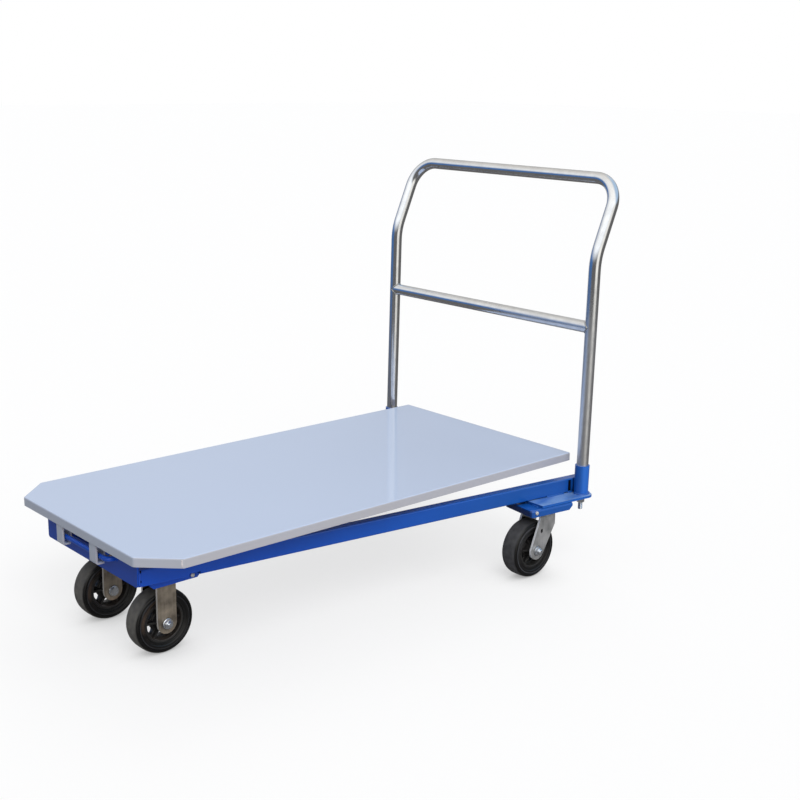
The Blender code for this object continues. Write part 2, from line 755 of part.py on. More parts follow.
def make_caster_bracket(end, side, sign, mount, lead, trail, nose, bolted, drop):
    """An inverted tray over the caster's plate, closed in front and open behind.

    It reaches past the plate by lead in front and trail behind. Its flanges' lower corners are
    cut off, by nose in front. The bolt through its outer flange stands just past the plate,
    behind it where bolted is +1 and ahead of it at -1, and drop below the web's corner.
    """
    name = f"{end}_caster_bracket_{side}"
    half_plate = CASTER_PLATE_LENGTH / 2
    front = -half_plate - lead
    rear = half_plate + trail
    half = BRACKET_OUTER
    corners = ((front, -half), (rear, -half), (rear, half), (front, half))
    radii = [BRACKET_CORNER, 0, 0, BRACKET_CORNER]
    tray = slab(name, [rounded(corners, radii)], BRACKET_FLANGE_BOTTOM, BRACKET_TOP)
    round_edges(
        tray, lambda low, high: low.z > BRACKET_TOP - GAP and low.x < rear - GAP, BRACKET_BEND
    )
    inside = rectangle(
        (front + BRACKET_METAL, -BRACKET_INNER),
        (rear + BRACKET_CORNER, BRACKET_INNER),
        BRACKET_CORNER - BRACKET_METAL,
    )
    combine(
        tray,
        slab(f"{name}_hollow", [inside], BRACKET_FLANGE_BOTTOM - OVERRUN, BRACKET_WEB_BOTTOM),
    )
    low = BRACKET_FLANGE_BOTTOM - OVERRUN
    for face, cut, outward in ((front, nose, -1), (rear, BRACKET_SLANT, 1)):
        wedge = (
            (face - outward * (cut + OVERRUN), low),
            (face + outward * OVERRUN, low),
            (face + outward * OVERRUN, low + cut + 2 * OVERRUN),
        )
        combine(tray, slab(f"{name}_cut_{outward}", [wedge], -2 * half, 2 * half, "Y"))
    bolt_x = bolted * (half_plate + GAP + SIDE_BOLT_RADIUS)
    bolt_z = BRACKET_WEB_BOTTOM - GAP - SIDE_BOLT_RADIUS - drop
    outer = sign * BRACKET_OUTER
    hole = round_bar(
        f"{name}_hole",
        SIDE_BOLT_RADIUS + GAP,
        (bolt_x, outer - sign * OVERRUN, bolt_z),
        (bolt_x, outer + sign * OVERRUN, bolt_z),
    )
    combine(tray, hole)
    settle(tray)
    place(tray, frame_paint, mount)

    seat = outer + sign * GAP
    shank = round_bar(
        f"{end}_bracket_bolt_{side}",
        SIDE_BOLT_RADIUS,
        (bolt_x, seat + sign * SIDE_BOLT_HEAD / 2, bolt_z),
        (bolt_x, seat - sign * SIDE_BOLT_LENGTH, bolt_z),
        SMALL_ROUND_SIDES,
    )
    head = round_bar(
        f"{name}_bolt_head",
        SIDE_BOLT_FLATS / math.sqrt(3),
        (bolt_x, seat, bolt_z),
        (bolt_x, seat + sign * SIDE_BOLT_HEAD, bolt_z),
        6,
    )
    combine(shank, head, "UNION")
    settle(shank)
    place(shank, zinc, mount)


# Handle

def ring_profile(outer, inner, low, high):
    return ((outer, high), (outer, low), (inner, low), (inner, high))


def make_socket(side, sign, handle):
    """A tube that leans as the handle does."""
    profile = ring_profile(SOCKET_RADIUS, SOCKET_BORE, 2 * GAP, SOCKET_HEIGHT)
    socket = turned(f"handle_socket_{side}", profile, 2 * SMALL_ROUND_SIDES)
    place(socket, frame_paint, handle, (0, sign * HANDLE_Y, 0))


def handle_path(extra=0):
    """The middle line of the handle tube, in the leaning frame of its foot."""
    foot = POST_FOOT_RISE - extra
    lean = Vector((math.sin(HANDLE_BEND_ANGLE), 0, math.cos(HANDLE_BEND_ANGLE)))
    bend = Vector((0, -HANDLE_Y, POST_LENGTH))
    corner = bend + lean * UPPER_LENGTH
    left = [Vector((0, -HANDLE_Y, foot)), bend, corner]
    right = [Vector((x, -y, z)) for x, y, z in reversed(left)]
    radii = [0, POST_BEND_RADIUS, HANDLE_CORNER_RADIUS]
    return rounded(left + right, radii + radii[::-1], closed=False, step=FINE_ARC_STEP)


def make_handle(handle):
    loop = tube("handle_tube", handle_path(), HANDLE_TUBE_RADIUS, HANDLE_TUBE_SIDES)
    bore_radius = HANDLE_TUBE_RADIUS - HANDLE_TUBE_WALL
    combine(loop, tube("handle_bore", handle_path(OVERRUN), bore_radius, HANDLE_TUBE_SIDES))
    settle(loop)
    place(loop, chrome, handle)

    ends = [(0, sign * HANDLE_Y, CROSSBAR_HEIGHT) for _, sign in SIDES]
    crossbar = round_bar("handle_crossbar", HANDLE_TUBE_RADIUS, *ends, 2 * SMALL_ROUND_SIDES)
    for side, sign in SIDES:
        post = round_bar(
            f"crossbar_cope_{side}",
            HANDLE_TUBE_RADIUS + GAP,
            (0, sign * HANDLE_Y, CROSSBAR_HEIGHT - 3 * HANDLE_TUBE_RADIUS),
            (0, sign * HANDLE_Y, CROSSBAR_HEIGHT + 3 * HANDLE_TUBE_RADIUS),
            2 * SMALL_ROUND_SIDES,
        )
        combine(crossbar, post)
    bore_ends = [(0, sign * (HANDLE_Y + OVERRUN), CROSSBAR_HEIGHT) for _, sign in SIDES]
    combine(crossbar, round_bar("crossbar_bore", bore_radius, *bore_ends))
    settle(crossbar)
    place(crossbar, chrome, handle)


def make_handle_fastening(side, sign):
    """The stud in the post's foot, with its flanged nut under the foot plate."""
    at = (SOCKET_X, sign * HANDLE_Y, 0)
    top = RAIL_BOTTOM + POST_FOOT_RISE + PLUG_HEIGHT
    end = MOUNT_BOTTOM - STUD_DROP
    stud_profile = (
        (0, top),
        (PLUG_RADIUS, top),
        (PLUG_RADIUS, top - PLUG_HEIGHT),
        (STUD_RADIUS, top - PLUG_HEIGHT),
        (STUD_RADIUS, end + STUD_CHAMFER),
        (STUD_RADIUS - STUD_CHAMFER, end),
        (0, end),
    )
    place(turned(f"handle_stud_{side}", stud_profile, SMALL_ROUND_SIDES), zinc, dolly, at)
    nut_top = MOUNT_BOTTOM - GAP
    flange = circle((0, 0), HANDLE_NUT_FLANGE_RADIUS)
    hexagon = circle((0, 0), HANDLE_NUT_FLATS / math.sqrt(3), 6)
    bore = circle((0, 0), STUD_RADIUS + GAP)
    name = f"handle_nut_{side}"
    nut = slab(name, [flange, bore], nut_top - HANDLE_NUT_FLANGE, nut_top)
    flats = slab(
        f"{name}_flats",
        [hexagon, bore],
        nut_top - HANDLE_NUT_HEIGHT,
        nut_top - HANDLE_NUT_FLANGE / 2,
    )
    combine(nut, flats, "UNION")
    settle(nut)
    place(nut, zinc, dolly, at)


# Wheels

def tyre_profile():
    half = WHEEL_WIDTH / 2
    flat = TREAD_FLAT / 2
    shoulder = WHEEL_RADIUS - SHOULDER_DROP
    step = shoulder - SIDEWALL_DEPTH
    inner = CORE_RADIUS + GAP
    side = (
        (WHEEL_RADIUS, flat),
        (WHEEL_RADIUS - SHOULDER_DROP / 4, (flat + 2 * half) / 3),
        (shoulder, half),
        (step + SIDEWALL_STEP, half),
        (step, half - SIDEWALL_STEP),
        (inner, half - SIDEWALL_STEP),
    )
    return [(radius, height) for radius, height in reversed(side)] + [
        (radius, -height) for radius, height in side
    ]


def core_profile():
    """Hub, web and rim in one section, before the windows are cut."""
    hub = HUB_WIDTH / 2
    web = WEB_THICKNESS / 2
    rim = RIM_WIDTH / 2
    rim_inner = CORE_RADIUS - RIM_THICKNESS
    bore = SLEEVE_RADIUS + RUNNING_GAP
    side = (
        (bore, hub),
        (HUB_RADIUS, hub),
        (HUB_RADIUS, web + HUB_FILLET),
        (HUB_RADIUS + HUB_FILLET, web),
        (rim_inner - HUB_FILLET, web),
        (rim_inner, web + HUB_FILLET),
        (rim_inner, rim),
        (CORE_RADIUS, rim),
    )
    return list(side) + [(radius, -height) for radius, height in reversed(side)]


def window_outlines():
    """The openings between the spokes, whose sides run parallel to the spokes."""
    low = HUB_RADIUS + HUB_FILLET
    high = CORE_RADIUS - RIM_THICKNESS - HUB_FILLET / 2
    outlines = []
    for each in range(SPOKE_COUNT):
        middle = math.tau * (each + 0.5) / SPOKE_COUNT
        half = math.pi / SPOKE_COUNT
        corners = []
        for radius, edge in ((low, -1), (high, -1), (high, 1), (low, 1)):
            aside = half - math.asin(SPOKE_WIDTH / 2 / radius)
            turn = middle + edge * aside
            corners.append((radius * math.cos(turn), radius * math.sin(turn)))
        outlines.append(rounded(corners, WINDOW_CORNER, step=math.radians(45)))
    return outlines


def make_wheel(end, side, axle):
    tyre = turned(
        f"{end}_tyre_{side}", tyre_profile(), TREAD_SIDES, "Y", math.pi / TREAD_SIDES
    )
    place(tyre, rubber, axle)
    core = turned(f"{end}_wheel_core_{side}", core_profile(), CORE_SIDES, "Y")
    windows = slab(f"{end}_windows_{side}", window_outlines(), -RIM_WIDTH, RIM_WIDTH, "Y")
    combine(core, windows)
    settle(core)
    place(core, core_paint, axle)


def make_axle(end, side, sign, caster, x):
    """The bolt through both legs, its nut on the outer side and the sleeve that the hub runs on."""
    at = (x, 0, AXLE_HEIGHT)
    sleeve_half = FORK_INNER - GAP
    sleeve_bore = AXLE_BOLT_RADIUS + GAP
    sleeve_profile = ring_profile(SLEEVE_RADIUS, sleeve_bore, -sleeve_half, sleeve_half)
    sleeve = turned(f"{end}_axle_sleeve_{side}", sleeve_profile, SMALL_ROUND_SIDES, "Y")
    place(sleeve, bright_steel, caster, at)

    seat = FORK_OUTER + GAP
    nut_end = seat + AXLE_NUT_HEIGHT
    bolt = round_bar(
        f"{end}_axle_bolt_{side}",
        AXLE_BOLT_RADIUS,
        (0, -sign * (seat + AXLE_HEAD_HEIGHT / 2), 0),
        (0, sign * (nut_end + AXLE_BOLT_REACH), 0),
    )
    head = round_bar(
        f"{end}_axle_head_{side}",
        AXLE_HEAD_FLATS / math.sqrt(3),
        (0, -sign * seat, 0),
        (0, -sign * (seat + AXLE_HEAD_HEIGHT), 0),
        6,
    )
    combine(bolt, head, "UNION")
    settle(bolt)
    place(bolt, zinc, caster, at)

    hexagon = circle((0, 0), AXLE_HEAD_FLATS / math.sqrt(3), 6)
    bore = circle((0, 0), sleeve_bore)
    low, high = sorted((sign * seat, sign * nut_end))
    nut = slab(f"{end}_axle_nut_{side}", [hexagon, bore], low, high, "Y")
    place(nut, zinc, caster, at)


# Casters

def fork_section(top):
    """The fork seen from the front: two legs under a crown, bent from one plate."""
    low = AXLE_HEIGHT - LEG_WIDTH
    outer = [
        (-FORK_OUTER, low),
        (-FORK_OUTER, top),
        (FORK_OUTER, top),
        (FORK_OUTER, low),
        (FORK_INNER, low),
        (FORK_INNER, top - FORK_METAL),
        (-FORK_INNER, top - FORK_METAL),
        (-FORK_INNER, low),
    ]
    bend = FORK_BEND
    inner_bend = FORK_BEND - FORK_METAL
    return rounded(outer, [0, bend, bend, 0, 0, inner_bend, inner_bend, 0])


def leg_outline(lead, top, kink, top_width):
    """The leg seen from the side, round below the axle, which lies lead ahead of its top.

    Its rear edge bends upright at the height kink, and its front edge runs straight up.
    """
    half = LEG_WIDTH / 2
    steps = 8
    aslant = math.atan2(lead, kink - AXLE_HEIGHT)
    outline = []
    for each in range(steps + 1):
        turn = math.pi - aslant + math.pi * each / steps
        outline.append((half * math.cos(turn) - lead, half * math.sin(turn) + AXLE_HEIGHT))
    outline += [(top_width / 2, kink), (top_width / 2, top), (-top_width / 2, top)]
    return outline


def cut_axle_hole(fork, name, lead):
    reach = FORK_OUTER + OVERRUN
    hole = round_bar(
        f"{name}_axle_hole",
        AXLE_BOLT_RADIUS + GAP,
        (-lead, -reach, AXLE_HEIGHT),
        (-lead, reach, AXLE_HEIGHT),
    )
    combine(fork, hole)


def caster_plate(name):
    half_x = CASTER_PLATE_LENGTH / 2
    half_y = CASTER_PLATE_WIDTH / 2
    outline = rectangle((-half_x, -half_y), (half_x, half_y), CASTER_PLATE_CORNER)
    return slab(name, [outline], CASTER_PLATE_BOTTOM, CASTER_HEIGHT)


def make_front_caster(side, sign):
    """A rigid caster: its fork is welded to its plate."""
    caster = new_empty(
        f"front_caster_{side}", dolly, (FRONT_CASTER_X, sign * FRONT_CASTER_Y, 0)
    )
    make_caster_bracket("front", side, sign, caster, *FRONT_BRACKET)
    name = f"front_fork_{side}"
    crown_top = CASTER_PLATE_BOTTOM + CASTER_PLATE_THICKNESS / 2
    fork = slab(name, [fork_section(crown_top)], -CROWN_LENGTH, CROWN_LENGTH, "X")
    legs = leg_outline(0, crown_top, CASTER_PLATE_BOTTOM - FORK_BEND, LEG_WIDTH)
    reach = 2 * FORK_OUTER
    combine(fork, slab(f"{name}_legs", [legs], -reach, reach, "Y"), "INTERSECT")
    combine(fork, caster_plate(f"{name}_plate"), "UNION")
    cut_axle_hole(fork, name, 0)
    settle(fork)
    place(fork, dull_zinc, caster)
    make_axle("front", side, sign, caster, 0)
    axle = new_empty(f"front_wheel_axis_{side}", caster, (0, 0, AXLE_HEIGHT))
    make_wheel("front", side, axle)


def make_rear_caster(side, sign):
    """A swivel caster: the fork turns on a kingpin and a ring of balls under the plate.

    The bracket and the plate lie along the rail, while the wheel points straight ahead.
    """
    at = (REAR_CASTER_X, sign * REAR_CASTER_Y, 0)
    mount = new_empty(f"rear_caster_{side}", dolly, at, (0, 0, sign * RAIL_ANGLE))
    swivel = new_empty(f"rear_swivel_axis_{side}", dolly, at)
    make_caster_bracket("rear", side, sign, mount, *REAR_BRACKET)
    race_bottom = CASTER_PLATE_BOTTOM - UPPER_RACE_DEPTH
    pin_bore = KINGPIN_RADIUS + RUNNING_GAP

    plate_name = f"rear_top_plate_{side}"
    plate = caster_plate(plate_name)
    race = round_bar(
        f"{plate_name}_race",
        UPPER_RACE_RADIUS,
        (0, 0, race_bottom),
        (0, 0, CASTER_HEIGHT - CASTER_PLATE_THICKNESS / 2),
        2 * SMALL_ROUND_SIDES,
    )
    combine(plate, race, "UNION")
    bore = round_bar(
        f"{plate_name}_bore",
        pin_bore,
        (0, 0, race_bottom - OVERRUN),
        (0, 0, CASTER_HEIGHT + OVERRUN),
    )
    combine(plate, bore)
    settle(plate)
    place(plate, bright_steel, mount)

    ring_top = race_bottom - RUNNING_GAP
    ring_bottom = ring_top - BALL_RING_HEIGHT
    middle = (ring_top + ring_bottom) / 2
    bulge = BALL_RING_HEIGHT / 4
    ring_profile_points = (
        (BALL_RING_RADIUS - bulge, ring_top),
        (BALL_RING_RADIUS, middle),
        (BALL_RING_RADIUS - bulge, ring_bottom),
        (BALL_RING_RADIUS - BALL_RING_WALL, ring_bottom),
        (BALL_RING_RADIUS - BALL_RING_WALL, ring_top),
    )
    ring = turned(f"rear_ball_ring_{side}", ring_profile_points, 2 * SMALL_ROUND_SIDES)
    place(ring, bright_steel, swivel)

    name = f"rear_fork_{side}"
    crown_top = ring_bottom - RUNNING_GAP
    fork = slab(name, [fork_section(crown_top)], -CROWN_LENGTH, CROWN_LENGTH, "X")
    legs = leg_outline(SWIVEL_LEAD, crown_top, LEG_KINK_HEIGHT, LEG_TOP_WIDTH)
    reach = 2 * FORK_OUTER
    combine(fork, slab(f"{name}_legs", [legs], -reach, reach, "Y"), "INTERSECT")
    crown_bottom = crown_top - FORK_METAL
    crown = round_bar(
        f"{name}_crown",
        CROWN_RADIUS,
        (0, 0, crown_bottom),
        (0, 0, crown_top),
        2 * SMALL_ROUND_SIDES,
    )
    combine(fork, crown, "UNION")
    pin = round_bar(
        f"{name}_kingpin",
        KINGPIN_RADIUS,
        (0, 0, crown_bottom),
        (0, 0, CASTER_HEIGHT - KINGPIN_SHORTFALL),
    )
    combine(fork, pin, "UNION")
    head = round_bar(
        f"{name}_kingpin_head",
        KINGPIN_HEAD_RADIUS,
        (0, 0, crown_bottom - KINGPIN_HEAD_HEIGHT),
        (0, 0, crown_bottom + FORK_METAL / 2),
    )
    combine(fork, head, "UNION")
    cut_axle_hole(fork, name, SWIVEL_LEAD)
    slot_x = -SWIVEL_LEAD * (LEG_KINK_HEIGHT - LEG_SLOT_HEIGHT) / (LEG_KINK_HEIGHT - AXLE_HEIGHT)
    slot = rectangle(
        (slot_x - LEG_SLOT_WIDTH / 2, LEG_SLOT_HEIGHT - LEG_SLOT_LENGTH / 2),
        (slot_x + LEG_SLOT_WIDTH / 2, LEG_SLOT_HEIGHT + LEG_SLOT_LENGTH / 2),
    )
    combine(fork, slab(f"{name}_slot", [slot], -reach, reach, "Y"))
    settle(fork)
    place(fork, dull_zinc, swivel)
    make_axle("rear", side, sign, swivel, -SWIVEL_LEAD)
    axle = new_empty(f"rear_wheel_axis_{side}", swivel, (-SWIVEL_LEAD, 0, AXLE_HEIGHT))
    make_wheel("rear", side, axle)


clear_scene()
parts = new_collection("platform_dolly")
cutters = new_collection("cutters")

deck_paint = new_material("deck_paint", (0.56, 0.62, 0.78), 0.0, 0.35)
frame_paint = new_material("frame_paint", (0.02, 0.10, 0.45), 0.0, 0.35)
chrome = new_material("handle_chrome", (0.75, 0.76, 0.78), 1.0, 0.18)
zinc = new_material("zinc_fasteners", (0.70, 0.71, 0.72), 1.0, 0.30)
bright_steel = new_material("bright_steel", (0.60, 0.60, 0.60), 1.0, 0.35)
dull_zinc = new_material("fork_zinc", (0.42, 0.41, 0.39), 0.9, 0.45)
rubber = new_material("tyre_rubber", (0.025, 0.025, 0.027), 0.0, 0.75)
core_paint = new_material("wheel_core", (0.030, 0.030, 0.032), 0.2, 0.5)

dolly = new_empty("dolly", location=(-MIDDLE_X, 0, 0))
deck_hinge = new_empty("deck_hinge_axis", dolly, (HINGE_X, 0, HINGE_HEIGHT))
hinge_offset = (-HINGE_X, 0, -HINGE_HEIGHT)
handle_foot = new_empty(
    "handle_foot", dolly, (SOCKET_X, 0, RAIL_BOTTOM), (0, HANDLE_LEAN, 0)
)

make_deck_pan(deck_hinge)
make_front_plate()
make_hinge_rod()
make_cross_bar()
make_handle(handle_foot)
for side_name, y_sign in SIDES:
    make_deck_stiffener(side_name, y_sign, deck_hinge)
    make_hinge_hook(side_name, y_sign, deck_hinge)
    make_side_rail(side_name, y_sign)
    make_front_mount_plate(side_name, y_sign)
    make_rear_foot_plate(side_name, y_sign)
    make_socket(side_name, y_sign, handle_foot)
    make_handle_fastening(side_name, y_sign)
    make_front_caster(side_name, y_sign)
    make_rear_caster(side_name, y_sign)
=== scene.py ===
"""Looks of the nesting platform dolly: detailed pieces, procedural materials, light and camera.

Metres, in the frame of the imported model: +Z up, the handle end at +X, the left side at -Y.
"""

import math

import bmesh
import bpy
from mathutils import Matrix, Vector


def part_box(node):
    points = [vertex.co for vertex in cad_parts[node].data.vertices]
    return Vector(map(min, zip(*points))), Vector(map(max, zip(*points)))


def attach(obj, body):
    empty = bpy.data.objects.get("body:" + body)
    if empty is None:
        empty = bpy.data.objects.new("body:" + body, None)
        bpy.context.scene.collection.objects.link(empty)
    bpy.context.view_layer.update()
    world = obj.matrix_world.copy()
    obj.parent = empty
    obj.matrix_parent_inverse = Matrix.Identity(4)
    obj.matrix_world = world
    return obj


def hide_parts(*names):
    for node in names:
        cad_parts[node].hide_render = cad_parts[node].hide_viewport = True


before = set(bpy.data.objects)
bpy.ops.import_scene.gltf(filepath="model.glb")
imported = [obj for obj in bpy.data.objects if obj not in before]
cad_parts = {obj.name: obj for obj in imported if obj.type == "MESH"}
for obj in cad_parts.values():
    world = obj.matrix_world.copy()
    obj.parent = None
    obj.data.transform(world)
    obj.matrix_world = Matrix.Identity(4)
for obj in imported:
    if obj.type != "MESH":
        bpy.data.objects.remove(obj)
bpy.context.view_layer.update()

SIDES = (("left", -1), ("right", 1))
ENDS = ("front", "rear")
X_AXIS, Y_AXIS, Z_AXIS = Vector((1, 0, 0)), Vector((0, 1, 0)), Vector((0, 0, 1))

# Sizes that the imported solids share
DECK_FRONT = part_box("deck_pan")[0].x
DECK_CLIP = 0.078
DECK_CLIP_WIDTH = 0.0735
RAIL_WIDTH = 0.0254
RAIL_FRONT_Y = 0.2035
RAIL_REAR_Y = 0.3640
SOCKET_X = DECK_FRONT + 1.2668
RAIL_START_X = DECK_FRONT + 0.0403
RAIL_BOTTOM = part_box("side_rail_left")[0].z
RAIL_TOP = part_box("side_rail_left")[1].z
PLATE_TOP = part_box("rear_foot_plate_left")[1].z
RAIL_SLOPE = (RAIL_REAR_Y - RAIL_FRONT_Y) / (SOCKET_X - RAIL_START_X)
RAIL_ANGLE = math.atan(RAIL_SLOPE)
SOCKET_RADIUS = 0.019175
HANDLE_Y = 0.3812
HANDLE_RADIUS = 0.0155
HANDLE_LEAN = math.radians(1.1)
HANDLE_BEND = math.radians(22)
POST_LENGTH = 0.6226
UPPER_LENGTH = 0.2112
POST_BEND_RADIUS = 0.160
HANDLE_CORNER_RADIUS = 0.0744
CROSSBAR_HEIGHT = 0.4434
WHEEL_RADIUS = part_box("front_tyre_left")[1].z / 2
HUB_HALF = 0.0278
HINGE_X = DECK_FRONT + 0.015
HINGE_Y = 0.115
HINGE_HEIGHT = (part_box("hinge_rod")[0].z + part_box("hinge_rod")[1].z) / 2
HINGE_ROD_RADIUS = 0.006
HOOK_METAL = 0.0048
HOOK_BEND = 0.0044
HOOK_GAP = 0.0005
RAIL_WALL = 0.0025
FORK_SLOT_SOLID = (0.4494, 0.1264)
FORK_SLOT_SOLID_REACH = (0.0036, 0.0051)

# Sizes that differ from the solids, or that only the looks have
HOOK_FOOT_END = DECK_FRONT + 0.0230
HOOK_DROP = 0.0075
HOOK_REAR_LEG_DROP = 0.0045
HOOK_EDGES = {"left": (-0.0865, -0.057), "right": (0.0670, 0.095)}
RAIL_SLOT_FRONT, RAIL_SLOT_REAR, RAIL_SLOT_STRIP_REAR = 0.5502, 0.5605, 0.5709
RAIL_SLOT_HEIGHTS = (0.20515, 0.23525)
SEAM_END_HEIGHTS = (RAIL_BOTTOM + 0.0100, RAIL_TOP - 0.0065)
SEAM_END_LENGTH = 0.0062
FORK_SLOT_SHOWN = (0.4322, 0.1263)
FORK_SLOT_WIDTH = 0.0082
FORK_SLOT_LENGTH = 0.0118
TUBE_SIDES = 40
WELD_GAP = 0.0004
WASHER_SEAT = 0.0014
THREAD_RADIUS = 0.0062
AXLE_HEX = 0.019
STUD_HEX = 0.0186
# Per wheel: tread dust, the brown near the bead, the share of a painted highlight on the side
# wall's raised ring, and the core's dust.
WHEEL_DUST_AND_HIGHLIGHT = {
    "front": {"tread": (98, 96, 92), "bead_brown": (88, 73, 62), "ridge_highlight": 0.3, "core": (60, 54, 49)},
    "rear": {"tread": (80, 80, 82), "bead_brown": (44, 43, 43), "ridge_highlight": 0.65, "core": (50, 49, 47)},
}


# Nodes and materials

class Nodes:
    """A node tree, with calls that add a node and link its inputs."""

    def __init__(self, tree):
        self.tree = tree

    def add(self, kind, inputs=None, **settings):
        node = self.tree.nodes.new(kind)
        for key, value in settings.items():
            setattr(node, key, value)
        for key, value in (inputs or {}).items():
            self.put(node.inputs[key], value)
        return node

    def put(self, socket, value):
        if isinstance(value, bpy.types.NodeSocket):
            self.tree.links.new(value, socket)
        else:
            socket.default_value = value

    def spread(self, value, low, high, to_low=0.0, to_high=1.0):
        return self.add(
            "ShaderNodeMapRange", {0: value, 1: low, 2: high, 3: to_low, 4: to_high}
        ).outputs[0]

    def math(self, operation, first, second=0.0):
        return self.add("ShaderNodeMath", {0: first, 1: second}, operation=operation).outputs[0]

    def vector(self, operation, first, second=(0, 0, 0)):
        node = self.add("ShaderNodeVectorMath", {0: first, 1: second}, operation=operation)
        return node.outputs

    def blend(self, amount, first, second, how="MIX"):
        node = self.add("ShaderNodeMix", data_type="RGBA", blend_type=how)
        self.put(node.inputs[0], amount)
        self.put(node.inputs[6], first)
        self.put(node.inputs[7], second)
        return node.outputs[2]

    def along(self, vector, direction):
        """How far a vector reaches in a direction."""
        return self.vector("DOT_PRODUCT", vector, direction)["Value"]

    def mix_shaders(self, amount, first, second):
        return self.add("ShaderNodeMixShader", {0: amount, 1: first, 2: second}).outputs[0]


class Shading(Nodes):
    """A material's nodes."""

    def __init__(self, name):
        self.material = bpy.data.materials.new(name)
        self.material.use_nodes = True
        super().__init__(self.material.node_tree)
        self.shader = self.tree.nodes["Principled BSDF"]
        coordinates = self.add("ShaderNodeTexCoord").outputs
        self.place = coordinates["Object"]
        self.normal = coordinates["Normal"]

    def noise(self, scale, detail=2.0, stretch=(1, 1, 1), at=None):
        where = self.vector("MULTIPLY", at or self.place, stretch)[0]
        return self.add(
            "ShaderNodeTexNoise", {"Vector": where, "Scale": scale, "Detail": detail}
        ).outputs["Fac"]

    def facing(self, direction, low, high):
        """0 to 1 as the surface turns to face a direction."""
        return self.spread(self.along(self.normal, direction), low, high)

    def painted_crevice_shade(self, distance, low, high, darkest):
        """Painted shade from ambient occlusion: from darkest in a crevice to 1 in the open."""
        near = self.add("ShaderNodeAmbientOcclusion", {"Distance": distance}, samples=8)
        return self.spread(near.outputs["AO"], low, high, darkest, 1.0)

    def from_axle(self, node):
        """The vector from a wheel's axle square to it, and its length."""
        low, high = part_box(node)
        offset = self.vector("SUBTRACT", self.place, (low + high) / 2)[0]
        flat = self.vector("MULTIPLY", offset, (1, 0, 1))[0]
        return flat, self.vector("LENGTH", flat)["Value"]

    def bump(self, height, strength, distance):
        normal = self.add(
            "ShaderNodeBump", {"Height": height, "Strength": strength, "Distance": distance}
        ).outputs[0]
        self.put(self.shader.inputs["Normal"], normal)

    def finish(self, colour, roughness, metallic=0.0, specular=0.5, coat=0.0, coat_rough=0.12):
        self.put(self.shader.inputs["Base Color"], colour)
        self.put(self.shader.inputs["Roughness"], roughness)
        self.put(self.shader.inputs["Metallic"], metallic)
        self.shader.inputs["Specular IOR Level"].default_value = specular
        self.put(self.shader.inputs["Coat Weight"], coat)
        self.shader.inputs["Coat Roughness"].default_value = coat_rough
        return self.material


def shade(colour):
    """A colour that is written as 0 to 255 on a screen, as the numbers that a shader takes."""
    linear = [
        (c / 255 / 12.92) if c <= 10 else ((c / 255 + 0.055) / 1.055) ** 2.4 for c in colour
    ]
    return (*linear, 1)


def deck_paint():
    made = Shading("deck_paint_finish")
    # Painted light: faces turned up get a paler, bluer tone, and lips that face ahead a darker one
    # as painted shade.
    painted_light_on_top = made.facing(Z_AXIS, 0.35, 0.95)
    ahead = made.facing(-X_AXIS, 0.5, 0.98)
    lip = made.blend(ahead, shade((191, 189, 193)), shade((169, 175, 187)))
    paint = made.blend(painted_light_on_top, lip, shade((189, 205, 233)))
    cloud = made.spread(made.noise(2.2, 3), 0.2, 0.8)
    paint = made.blend(made.math("MULTIPLY", cloud, 0.25), paint, shade((182, 200, 230)))
    made.bump(made.noise(160, 2), 0.02, 0.0004)
    return made.finish(paint, 0.36, specular=0.3, coat=0.85, coat_rough=0.07)


def bare_weld():
    """The clip's welded seam, brighter than the paint beside it."""
    made = Shading("bare_weld_finish")
    spots = made.spread(made.noise(260, 3), 0.35, 0.65)
    colour = made.blend(spots, shade((205, 200, 204)), shade((226, 220, 222)))
    made.bump(made.noise(500, 2), 0.15, 0.0004)
    return made.finish(colour, made.spread(spots, 0, 1, 0.34, 0.46))


def frame_paint(name="frame_paint_finish", rear=(20, 89, 176), sheen=0.0, shaded=0.45):
    """Blue paint, brighter and deeper toward the front as painted light against the deck's shade
    there, and darker in crevices as painted shade.

    What faces up can have a painted pale sheen, and what faces ahead is darkened as painted shade.
    """
    made = Shading(name)
    length = made.add("ShaderNodeSeparateXYZ", {0: made.place}).outputs[0]
    # Painted light: the tone runs from front to rear to even out the deck's shade over the front.
    paint = made.blend(made.spread(length, -0.55, 0.40), shade((4, 86, 214)), shade(rear))
    cloud = made.spread(made.noise(9, 3), 0.25, 0.75, 0.12, 0)
    paint = made.blend(cloud, paint, shade((5, 45, 120)))
    if sheen:
        # Painted sheen: faces turned up get pale patches that stand in for a reflection of the sky.
        painted_light_on_top = made.math("MULTIPLY", made.facing(Z_AXIS, 0.8, 1.0), sheen)
        patches = made.spread(made.noise(26, 3, (0.6, 1, 1)), 0.30, 0.55, 0.25, 1)
        paint = made.blend(made.math("MULTIPLY", painted_light_on_top, patches), paint, shade((132, 170, 220)))
    # Painted shade: faces turned ahead are darkened toward navy, with a thinner coat.
    ahead = made.math("MULTIPLY", made.facing(-X_AXIS, 0.6, 0.95), shaded)
    coat = made.spread(ahead, 0, 1, 0.7, 0.05)
    paint = made.blend(ahead, paint, shade((6, 22, 66)))
    # Painted shade in crevices.
    paint = made.blend(made.painted_crevice_shade(0.030, 0.06, 0.42, 0.04), shade((9, 12, 26)), paint)
    made.bump(made.noise(110, 3), 0.05, 0.0006)
    return made.finish(paint, 0.34, specular=0.35, coat=coat, coat_rough=0.09)


def shadowed():
    """Near-black paint as painted shade for the dark inside of a tube, and for open seam ends."""
    made = Shading("shadowed_finish")
    return made.finish(shade((7, 8, 13)), 0.8, specular=0.1)


